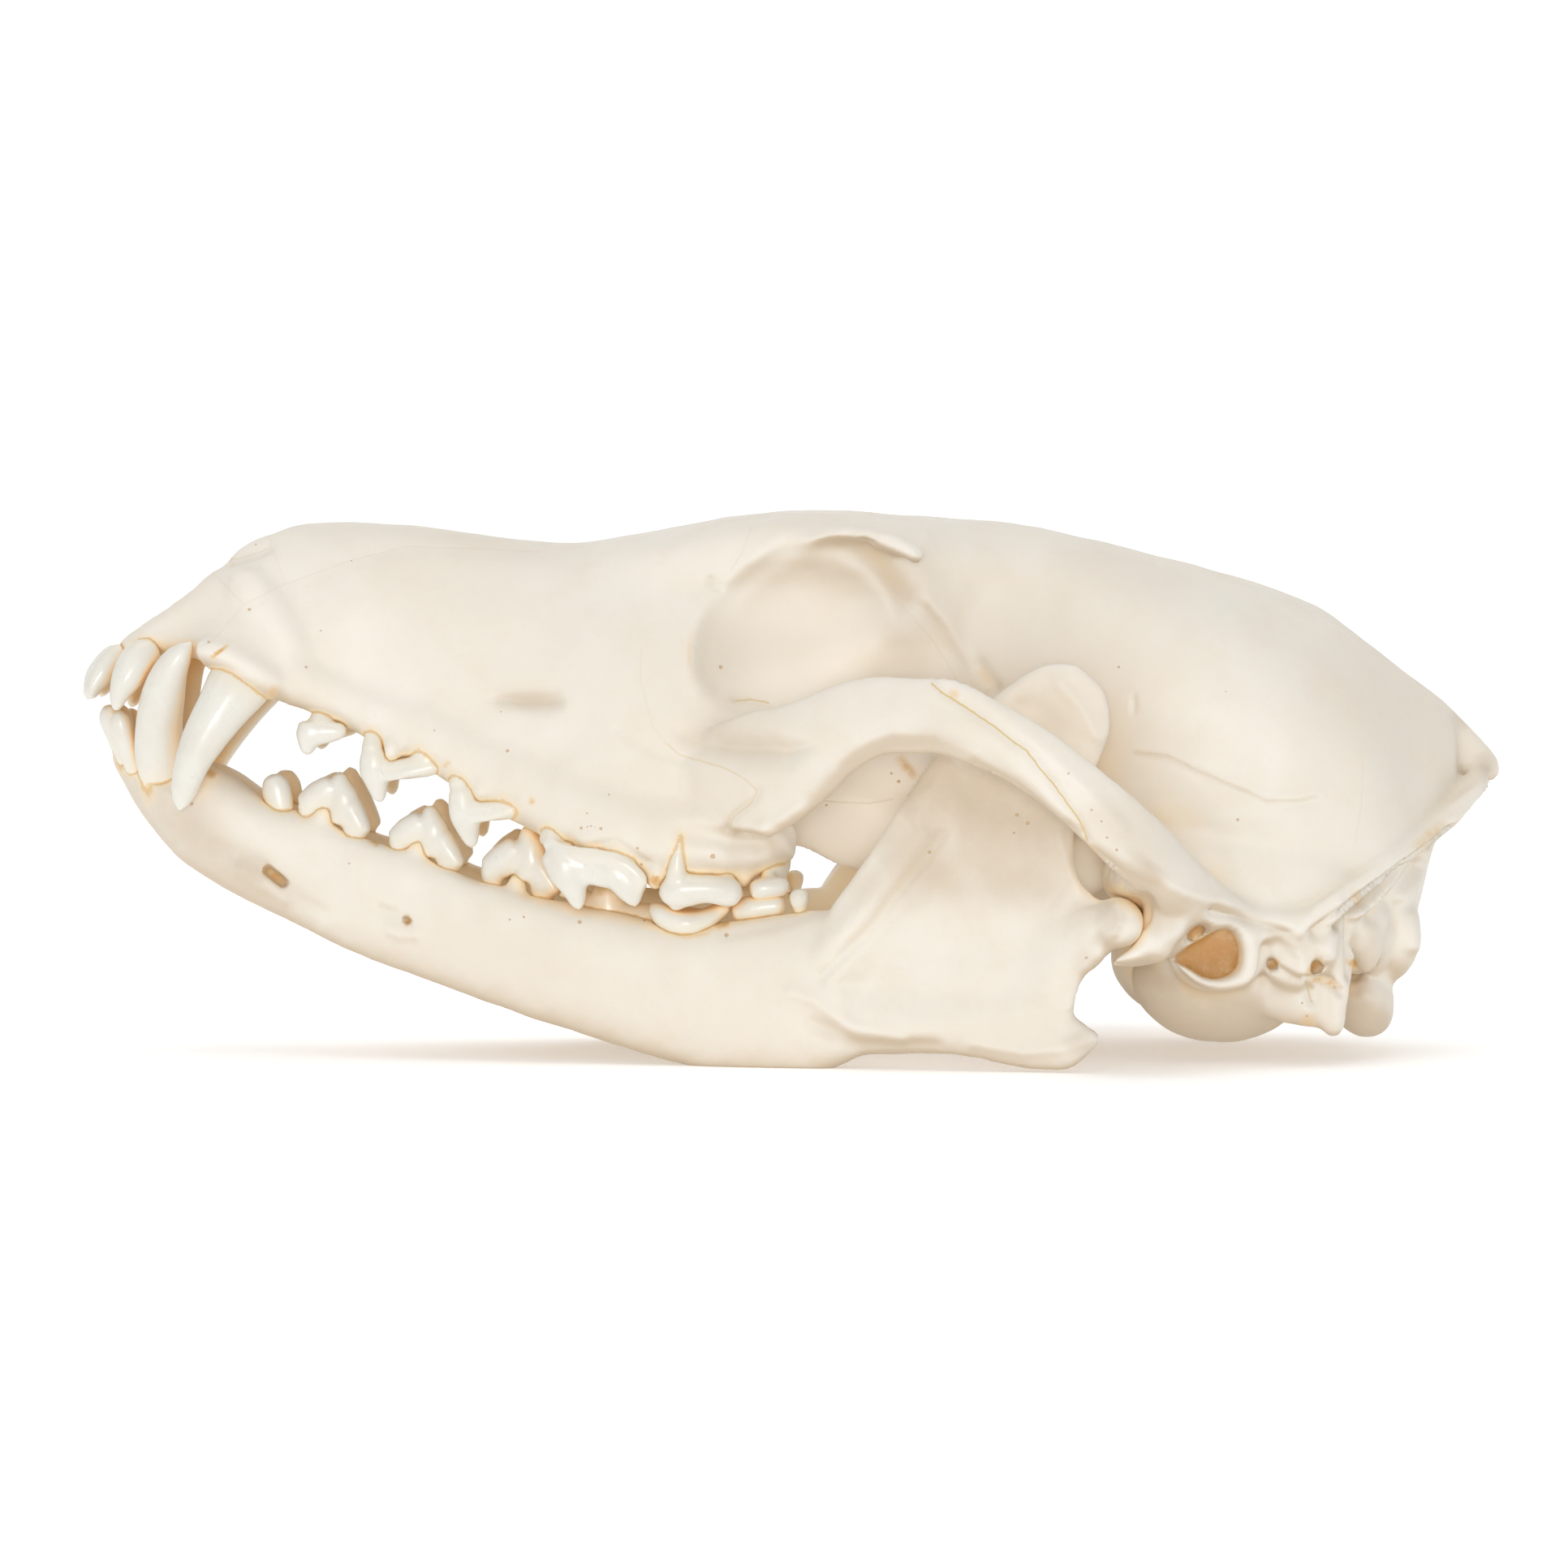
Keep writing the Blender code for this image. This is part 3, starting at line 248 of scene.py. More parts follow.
EAR_TUBE = ((43.2, 12.0, 11.2, 5.0, 4.2), (42.9, 18.5, 11.4, 4.9, 3.9), (42.9, 22.6, 11.4, 4.7, 3.7))
JAW_ANGLE = ((22.0, 24.6, 2.6, 1.4, 2.2), (27.4, 25.8, 2.5, 1.2, 1.9), (30.9, 26.2, 3.9, 0.7, 0.7))
# What is cut from the cranium, in the same rows.
NOSE_HOLE = (
    (-82.0, 0, 52.0, 5.4, 6.4),
    (-69.0, 0, 48.6, 5.4, 5.2),
    (-58.0, 0, 47.4, 5.0, 4.8),
    (-44.0, 0, 46.0, 3.2, 4.0),
)
THROAT = (
    (24.0, 0, 15.6, 5.0, 4.2),
    (12.0, 0, 19.8, 4.9, 4.4),
    (2.0, 0, 23.0, 4.6, 3.4),
    (-8.0, 0, 26.6, 3.6, 2.2),
)
BRAIN_HOLE = (
    (74.0, 0, 8.0, 6.4, 5.0),
    (62.0, 0, 11.0, 6.2, 5.0),
    (54.0, 0, 14.5, 6.4, 5.4),
    (42.0, 0, 20.0, 7.0, 6.0),
)

# Rows: x, top, bottom, out, half thickness, height of the widest place, crown, keel.
JAW = (
    (-70.8, 32.0, 30.2, 1.5, 1.2, 31.2, 2.2, 2.2),
    (-70.0, 32.4, 28.7, 1.9, 1.7, 30.6, 2.4, 2.2),
    (-68.1, 31.8, 25.4, 2.7, 2.5, 29.0, 2.6, 2.2),
    (-64.6, 29.8, 21.3, 3.9, 3.5, 26.6, 3.0, 2.2),
    (-61.0, 30.4, 18.6, 4.8, 3.8, 25.4, 3.0, 2.2),
    (-58.4, 29.4, 17.1, 5.2, 3.6, 24.0, 2.6, 2.2),
    (-54.1, 26.4, 15.0, 5.9, 3.1, 21.4, 2.4, 2.2),
    (-50.0, 25.4, 13.0, 6.6, 2.8, 20.0, 2.6, 2.2),
    (-45.5, 23.4, 10.9, 7.6, 2.6, 18.0, 2.8, 2.2),
    (-38.0, 20.8, 8.2, 9.6, 2.6, 15.2, 2.8, 2.2),
    (-31.0, 18.2, 5.8, 11.4, 2.8, 12.8, 2.8, 2.2),
    (-24.0, 16.6, 3.6, 13.2, 3.0, 10.8, 2.8, 2.2),
    (-17.7, 15.6, 1.6, 14.8, 3.2, 9.0, 2.8, 2.2),
    (-11.0, 14.2, -0.1, 16.4, 3.3, 7.8, 2.6, 2.2),
    (-6.6, 14.8, -0.9, 17.4, 3.3, 7.2, 2.6, 2.2),
    (-1.2, 15.6, -1.0, 18.7, 3.2, 7.0, 2.4, 2.2),
    (2.9, 16.2, -0.5, 19.8, 2.9, 7.4, 2.2, 2.2),
    (7.8, 15.0, 1.4, 21.0, 2.4, 7.4, 2.2, 2.2),
    (12.6, 13.0, 1.6, 22.3, 2.0, 6.6, 2.2, 2.2),
    (18.3, 11.0, 1.1, 23.7, 1.8, 5.6, 2.2, 2.2),
    (23.9, 9.0, 0.1, 25.0, 1.6, 4.4, 2.2, 2.2),
    (27.6, 6.2, 0.0, 25.9, 1.3, 3.0, 2.2, 2.2),
    (29.6, 4.8, 2.2, 26.3, 1.0, 3.4, 2.2, 2.2),
)
# Rows: z, front x, back x, out at the front, out at the back, half thickness.
RAMUS = (
    (3.0, 2.0, 28.4, 20.4, 25.8, 1.5),
    (5.2, 1.0, 28.0, 20.2, 26.0, 1.8),
    (8.0, 0.5, 28.2, 20.2, 26.2, 1.9),
    (10.2, 0.6, 29.2, 20.4, 26.4, 1.9),
    (12.0, 1.2, 30.6, 20.6, 26.4, 1.8),
    (14.0, 2.2, 31.6, 20.9, 26.4, 1.7),
    (16.6, 4.0, 31.4, 21.3, 26.2, 1.6),
    (18.2, 5.2, 29.2, 21.6, 26.0, 1.5),
    (21.0, 7.2, 28.2, 22.0, 25.9, 1.4),
    (25.7, 10.0, 28.2, 22.7, 26.0, 1.3),
    (29.0, 12.2, 29.4, 23.3, 26.2, 1.2),
    (31.8, 14.4, 30.8, 23.8, 26.5, 1.15),
    (35.1, 17.0, 31.7, 24.5, 26.8, 1.1),
    (38.1, 20.6, 31.2, 25.3, 27.0, 1.05),
    (39.7, 22.6, 29.9, 25.8, 27.0, 0.95),
    (41.0, 25.0, 28.2, 26.2, 26.8, 0.7),
)

# Every tooth as the bars that it is made of: its cusps, its heel, the rim along its gum line and its roots.
# Rows: pixel across and down in the photograph, out, and half sizes in its plane and towards the cheek.
TEETH_PX = {
    "upper": {
        "incisor_1": (
            ((150, 800, 1.6, 1.0, 0.9), (135, 812, 1.7, 1.2, 1.2), (119, 832, 1.8, 1.15, 1.35),
             (111, 850, 1.8, 0.75, 1.3), (108, 863, 1.8, 0.4, 1.1)),
        ),
        "incisor_2": (
            ((156, 799, 4.2, 1.0, 0.9), (139, 813, 4.4, 1.3, 1.2), (123, 833, 4.7, 1.25, 1.4),
             (114, 850, 4.8, 0.85, 1.35), (111, 862, 4.8, 0.4, 1.2)),
        ),
        "incisor_3": (
            ((196, 798, 6.2, 1.3, 1.1), (172, 812, 6.9, 1.9, 1.5), (158, 833, 7.3, 1.7, 1.5),
             (147, 856, 7.5, 1.05, 1.1), (142, 877, 7.5, 0.45, 0.5)),
        ),
        "canine": (
            ((336, 796, 6.8, 2.2, 1.5), (318, 816, 8.4, 3.0, 1.7), (298, 838, 10.2, 3.3, 2.1),
             (272, 876, 10.9, 2.7, 2.1), (250, 912, 11.2, 2.25, 1.9), (236, 942, 11.3, 1.8, 1.6),
             (227, 972, 11.2, 1.4, 1.2), (221, 1000, 11.0, 0.85, 0.8)),
        ),
        "premolar_1": (
            ((386, 890, 9.6, 1.4, 1.1), (382, 905, 9.8, 1.5, 1.1), (379, 920, 9.8, 0.95, 0.8),
             (378, 931, 9.7, 0.4, 0.4)),
            ((371, 896, 9.6, 0.8, 0.8), (395, 902, 9.8, 1.3, 1.1), (415, 901, 9.9, 1.0, 0.9),
             (428, 898, 10.0, 0.6, 0.7)),
            ((394, 896, 9.6, 1.4, 1.0), (402, 860, 8.6, 0.9, 0.7)),
        ),
        "premolar_2": (
            ((460, 922, 10.5, 1.2, 1.1), (461, 945, 10.6, 1.6, 1.25), (465, 968, 10.6, 1.15, 0.95),
             (469, 990, 10.5, 0.45, 0.45)),
            ((462, 948, 10.6, 1.3, 1.1), (490, 948, 10.9, 1.1, 1.1), (520, 944, 11.2, 1.2, 1.1),
             (545, 942, 11.5, 0.9, 0.8)),
            ((446, 925, 10.8, 0.5, 0.5), (455, 948, 11.4, 0.5, 0.45), (478, 957, 11.7, 0.5, 0.45),
             (510, 951, 12.0, 0.5, 0.45), (542, 945, 12.0, 0.45, 0.4)),
            ((458, 928, 10.6, 1.2, 1.2), (462, 895, 9.8, 0.9, 0.8)),
            ((524, 940, 11.4, 1.6, 1.1), (528, 905, 10.5, 0.9, 0.8)),
        ),
        "premolar_3": (
            ((568, 968, 12.4, 1.3, 1.2), (572, 1000, 12.6, 1.6, 1.3), (578, 1025, 12.6, 1.15, 1.0),
             (583, 1046, 12.5, 0.45, 0.45)),
            ((575, 1000, 12.7, 1.3, 1.2), (600, 999, 13.1, 1.1, 1.1), (630, 995, 13.6, 1.2, 1.1),
             (649, 991, 14.0, 0.9, 0.8)),
            ((557, 970, 12.8, 0.5, 0.5), (566, 995, 13.4, 0.5, 0.45), (588, 1008, 13.8, 0.5, 0.45),
             (620, 1002, 14.3, 0.5, 0.45), (648, 992, 14.5, 0.45, 0.4)),
            ((567, 972, 12.5, 1.3, 1.1), (567, 940, 11.6, 0.9, 0.8)),
            ((632, 988, 13.7, 1.5, 1.1), (632, 955, 12.7, 0.9, 0.8)),
        ),
        "premolar_4": (
            ((682, 1042, 16.6, 1.7, 1.4), (697, 1070, 16.9, 2.0, 1.7), (708, 1097, 17.0, 1.3, 1.2),
             (714, 1122, 16.9, 0.5, 0.5)),
            ((725, 1058, 17.2, 1.3, 1.4), (755, 1075, 17.9, 1.5, 1.6), (776, 1097, 18.3, 1.4, 1.2),
             (784, 1118, 18.4, 0.45, 0.5)),
            ((768, 1083, 18.2, 1.4, 1.3), (796, 1093, 18.8, 0.9, 0.9)),
            ((696, 1062, 17.0, 1.4, 1.5), (728, 1072, 17.3, 1.5, 1.3), (760, 1080, 17.9, 1.4, 1.4)),
            ((667, 1034, 16.6, 0.7, 0.7), (698, 1050, 17.7, 0.8, 0.6), (738, 1055, 18.6, 0.8, 0.55),
             (770, 1066, 19.1, 0.8, 0.6), (798, 1091, 19.3, 0.7, 0.6)),
            ((680, 1040, 16.2, 1.5, 1.2), (684, 1010, 14.4, 1.0, 0.9)),
            ((768, 1070, 18.2, 1.8, 1.3), (763, 1025, 17.0, 1.1, 1.0)),
        ),
        "molar_1": (
            ((811, 1102, 18.8, 1.0, 1.0), (840, 1097, 19.0, 1.8, 1.6), (870, 1095, 19.0, 1.5, 1.5),
             (900, 1100, 18.8, 1.5, 1.4), (916, 1103, 18.6, 0.9, 0.9)),
            ((830, 1098, 18.6, 1.4, 1.3), (836, 1122, 18.4, 0.6, 0.6)),
            ((893, 1102, 18.6, 1.2, 1.2), (897, 1117, 18.4, 0.5, 0.5)),
            ((833, 1090, 19.2, 1.3, 1.1), (834, 1066, 19.7, 0.85, 0.9), (837, 1045, 19.7, 0.6, 0.7),
             (839, 1026, 19.2, 0.35, 0.5)),
            ((893, 1095, 18.4, 1.3, 1.2), (890, 1060, 17.4, 0.8, 0.8)),
        ),
        "molar_2": (
            ((923, 1098, 17.6, 0.9, 0.9), (940, 1095, 17.7, 1.15, 1.2), (958, 1093, 17.5, 1.1, 1.2),
             (972, 1089, 17.1, 0.7, 0.8)),
            ((946, 1094, 17.4, 0.9, 0.9), (946, 1068, 16.4, 0.6, 0.6)),
        ),
    },
    "lower": {
        "incisor_1": (
            ((158, 950, 1.3, 0.9, 0.9), (145, 910, 1.35, 1.1, 1.0), (136, 886, 1.4, 1.2, 1.1),
             (130, 868, 1.4, 0.6, 1.0)),
        ),
        "incisor_2": (
            ((162, 952, 3.3, 0.9, 0.9), (148, 912, 3.5, 1.2, 1.0), (139, 887, 3.6, 1.3, 1.15),
             (132, 868, 3.6, 0.7, 1.0)),
        ),
        "incisor_3": (
            ((168, 955, 4.6, 0.9, 0.9), (156, 915, 5.2, 1.15, 1.1), (149, 892, 5.4, 1.2, 1.15),
             (146, 874, 5.4, 0.6, 0.9)),
        ),
        "canine": (
            ((216, 1006, 4.4, 2.0, 1.4), (203, 962, 5.2, 2.4, 1.6), (196, 925, 6.6, 2.6, 2.0),
             (196, 892, 7.4, 2.45, 2.0), (201, 858, 8.1, 2.3, 1.8), (211, 825, 8.8, 1.8, 1.5),
             (227, 801, 9.3, 1.1, 1.0), (238, 790, 9.5, 0.5, 0.5)),
        ),
        "premolar_1": (
            ((350, 1025, 6.6, 0.9, 0.7), (346, 998, 6.7, 1.4, 0.9), (341, 975, 6.6, 1.55, 1.0),
             (335, 953, 6.5, 0.95, 0.8)),
        ),
        "premolar_2": (
            ((370, 994, 7.2, 1.1, 0.9), (394, 981, 7.6, 1.7, 1.1), (414, 965, 7.8, 1.3, 1.0)),
            ((425, 1018, 8.0, 1.5, 1.1), (424, 985, 7.9, 1.6, 1.2), (420, 964, 7.8, 1.0, 0.9),
             (418, 950, 7.7, 0.6, 0.5)),
            ((428, 990, 8.0, 1.5, 1.2), (441, 1013, 8.2, 1.2, 1.1), (450, 1030, 8.4, 0.9, 0.8)),
            ((380, 988, 7.4, 1.2, 1.1), (382, 1025, 7.2, 0.9, 0.8)),
            ((438, 1015, 8.2, 1.4, 1.1), (436, 1055, 7.9, 0.9, 0.8)),
        ),
        "premolar_3": (
            ((482, 1038, 8.9, 1.1, 0.9), (505, 1025, 9.3, 1.7, 1.1), (524, 1009, 9.6, 1.3, 1.0)),
            ((538, 1058, 9.8, 1.5, 1.1), (535, 1025, 9.7, 1.6, 1.2), (531, 1004, 9.6, 1.0, 0.9),
             (529, 991, 9.5, 0.55, 0.5)),
            ((540, 1030, 9.9, 1.5, 1.2), (555, 1052, 10.2, 1.2, 1.1), (567, 1070, 10.5, 0.8, 0.8)),
            ((492, 1030, 9.1, 1.2, 1.1), (494, 1070, 8.9, 0.9, 0.8)),
            ((553, 1055, 10.1, 1.4, 1.1), (550, 1095, 9.8, 0.9, 0.8)),
        ),
        "premolar_4": (
            ((596, 1072, 10.9, 1.1, 0.9), (622, 1059, 11.3, 1.8, 1.2), (642, 1042, 11.6, 1.5, 1.1)),
            ((656, 1088, 11.8, 1.7, 1.2), (654, 1050, 11.7, 1.7, 1.3), (652, 1029, 11.6, 1.1, 1.0),
             (650, 1015, 11.6, 0.6, 0.5)),
            ((660, 1062, 11.9, 1.5, 1.2), (676, 1085, 12.3, 1.2, 1.1), (688, 1102, 12.7, 0.8, 0.8)),
            ((606, 1066, 11.1, 1.3, 1.1), (608, 1105, 10.9, 0.9, 0.8)),
            ((670, 1085, 12.2, 1.5, 1.1), (668, 1125, 11.9, 0.9, 0.8)),
        ),
        "molar_1": (
            ((700, 1112, 12.8, 1.4, 1.3), (760, 1130, 13.8, 1.8, 1.6), (820, 1135, 14.6, 1.8, 1.6),
             (880, 1137, 15.4, 1.3, 1.3)),
            ((707, 1110, 13.0, 1.8, 1.4), (713, 1080, 13.0, 0.8, 0.9)),
            ((750, 1130, 13.8, 2.2, 1.6), (748, 1092, 13.6, 1.5, 1.3), (746, 1068, 13.4, 0.6, 0.6)),
            ((804, 1116, 15.6, 0.6, 1.2), (820, 1129, 16.9, 1.3, 1.7), (846, 1138, 17.4, 1.45, 1.8),
             (868, 1133, 17.3, 1.2, 1.5), (886, 1122, 17.0, 0.9, 1.2), (900, 1112, 17.0, 0.7, 1.0)),
            ((720, 1125, 13.2, 1.5, 1.2), (720, 1170, 13.0, 1.0, 0.9)),
            ((840, 1140, 14.8, 1.5, 1.2), (842, 1180, 14.6, 1.0, 0.9)),
        ),
        "molar_2": (
            ((901, 1126, 16.6, 1.1, 1.1), (925, 1121, 16.9, 1.5, 1.4), (955, 1117, 17.3, 1.3, 1.2),
             (969, 1118, 17.6, 0.9, 0.9)),
            ((932, 1122, 17.0, 1.2, 1.1), (932, 1155, 17.0, 0.8, 0.8)),
        ),
        "molar_3": (
            ((975, 1112, 18.2, 0.9, 0.9), (986, 1109, 18.5, 1.25, 1.1), (996, 1112, 18.7, 0.8, 0.8)),
            ((986, 1112, 18.5, 0.8, 0.8), (986, 1138, 18.5, 0.5, 0.5)),
        ),
    },
}
# The inner parts of the broad teeth: centre as (x, out, z), and radii.
TOOTH_LOBES = {
    "premolar_4": ((-23.7, 13.6, 23.8), (1.6, 2.4, 2.4)),
    "molar_1": ((-9.2, 14.2, 21.0), (3.6, 4.8, 3.6)),
    "molar_2": ((-2.4, 13.6, 20.8), (2.3, 3.6, 3.0)),
}
# Bone that rises between the roots of one tooth: pixel across and down, out, and radii.
BONE_PEAKS_PX = {
    "upper": (((483, 926), 11.0, (0.9, 1.5, 1.5)), ((592, 974), 13.0, (0.9, 1.6, 1.6)),
              ((728, 1034), 16.6, (1.6, 1.9, 1.7)), ((862, 1074), 17.6, (1.4, 2.2, 1.0)),
              ((808, 1078), 17.6, (1.3, 2.0, 1.9)), ((916, 1082), 16.6, (1.0, 1.8, 1.2))),
    "lower": (((400, 1006), 7.6, (1.1, 1.45, 1.5)), ((516, 1050), 9.4, (1.1, 1.5, 1.5)),
              ((638, 1090), 11.4, (1.1, 1.6, 1.6))),
}
# Bars along edges of the cranium. Rows: pixel across and down, out, and half sizes, as for the teeth.
HOOK_EDGE_PX = (
    (1372, 1186, 25.0, 0.5, 1.6), (1400, 1181, 25.0, 0.9, 2.4), (1430, 1170, 24.6, 1.1, 2.6),
    (1452, 1156, 23.6, 1.1, 2.2),
)
TEMPORAL_EDGE_PX = (
    (1120, 698, 12.8, 1.4, 1.2), (1136, 726, 11.6, 2.0, 1.4), (1158, 758, 10.8, 2.2, 1.5),
    (1186, 800, 9.8, 2.2, 1.5), (1214, 845, 9.2, 2.0, 1.4),
)
CANINE_COLLAR_PX = (
    (256, 799, 8.2, 1.4, 2.6), (268, 804, 9.0, 2.0, 3.6), (287, 810, 9.2, 2.2, 3.8),
    (305, 822, 9.2, 2.2, 3.8), (326, 838, 9.0, 2.0, 3.4), (348, 852, 8.8, 1.4, 2.4),
)
# The outline of the bone hook behind the jaw joint.
JOINT_HOOK_PX = (
    (1408, 1112), (1440, 1106), (1472, 1130), (1462, 1152), (1440, 1170), (1400, 1187), (1362, 1190),
    (1392, 1172), (1405, 1150), (1409, 1130),
)
# Painted shadow on teeth, in the notches that the teeth above shade: pixels, half width, strength, and the
# outs.
TEETH_AMBER_SHADE_PX = (
    (((738, 1066), (743, 1104)), 1.1, 1.0, (8, 17.2)),
    (((600, 1080), (690, 1104)), 0.5, 0.3, (8, 14)),
)
EAR_RING_PX = (
    (1449, 1181, 0.40), (1462, 1165, 0.40), (1480, 1149, 0.40), (1504, 1139, 0.42), (1527, 1146, 0.55),
    (1541, 1166, 0.80), (1539, 1192, 0.85), (1524, 1209, 0.70), (1502, 1214, 0.55), (1480, 1208, 0.50),
    (1462, 1196, 0.45), (1449, 1181, 0.40), (1462, 1165, 0.40),
)
EAR_RING_OUT = 23.4

# Openings: an outline in pixels, the outs between which it is cut, and how much narrower it ends.
CRANIUM_OPENINGS_PX = (
    (((1441, 1182), (1463, 1164), (1480, 1154), (1498, 1143), (1512, 1140), (1523, 1148), (1529, 1165),
     (1528, 1190), (1516, 1205), (1496, 1210), (1479, 1206), (1463, 1194)), (30.0, 19.6), 0.06),
    (((1453, 1163), (1463, 1146), (1478, 1136), (1492, 1138), (1488, 1148), (1470, 1160)), (30.0, 21.6),
     0.15),
    (((1556, 1181), (1566, 1174), (1577, 1183), (1580, 1196), (1569, 1201), (1557, 1192)), (30.0, 19.8),
     0.3),
    (((1604, 1205), (1611, 1189), (1622, 1177), (1634, 1181), (1638, 1194), (1624, 1202)), (30.0, 20.0),
     0.3),
    (((844, 802), (848, 799), (852, 803), (848, 807)), (24.0, 12.0), 0.2),
)
JAW_OPENINGS_PX = (
    (((314, 1061), (330, 1064), (348, 1076), (361, 1090), (354, 1099), (340, 1092), (325, 1077)),
     (14.0, 7.0), 0.35),
    (((491, 1130), (498, 1125), (507, 1128), (512, 1136), (507, 1143), (498, 1140)), (16.0, 10.4), 0.3),
)

# The seam across the cheek arch, carved and coloured.
ARCH_SEAM_PX = (
    (1148, 842), (1160, 853), (1180, 865), (1200, 878), (1225, 895), (1250, 915), (1265, 925),
    (1280, 945), (1300, 968), (1315, 990), (1330, 1010), (1340, 1035),
)

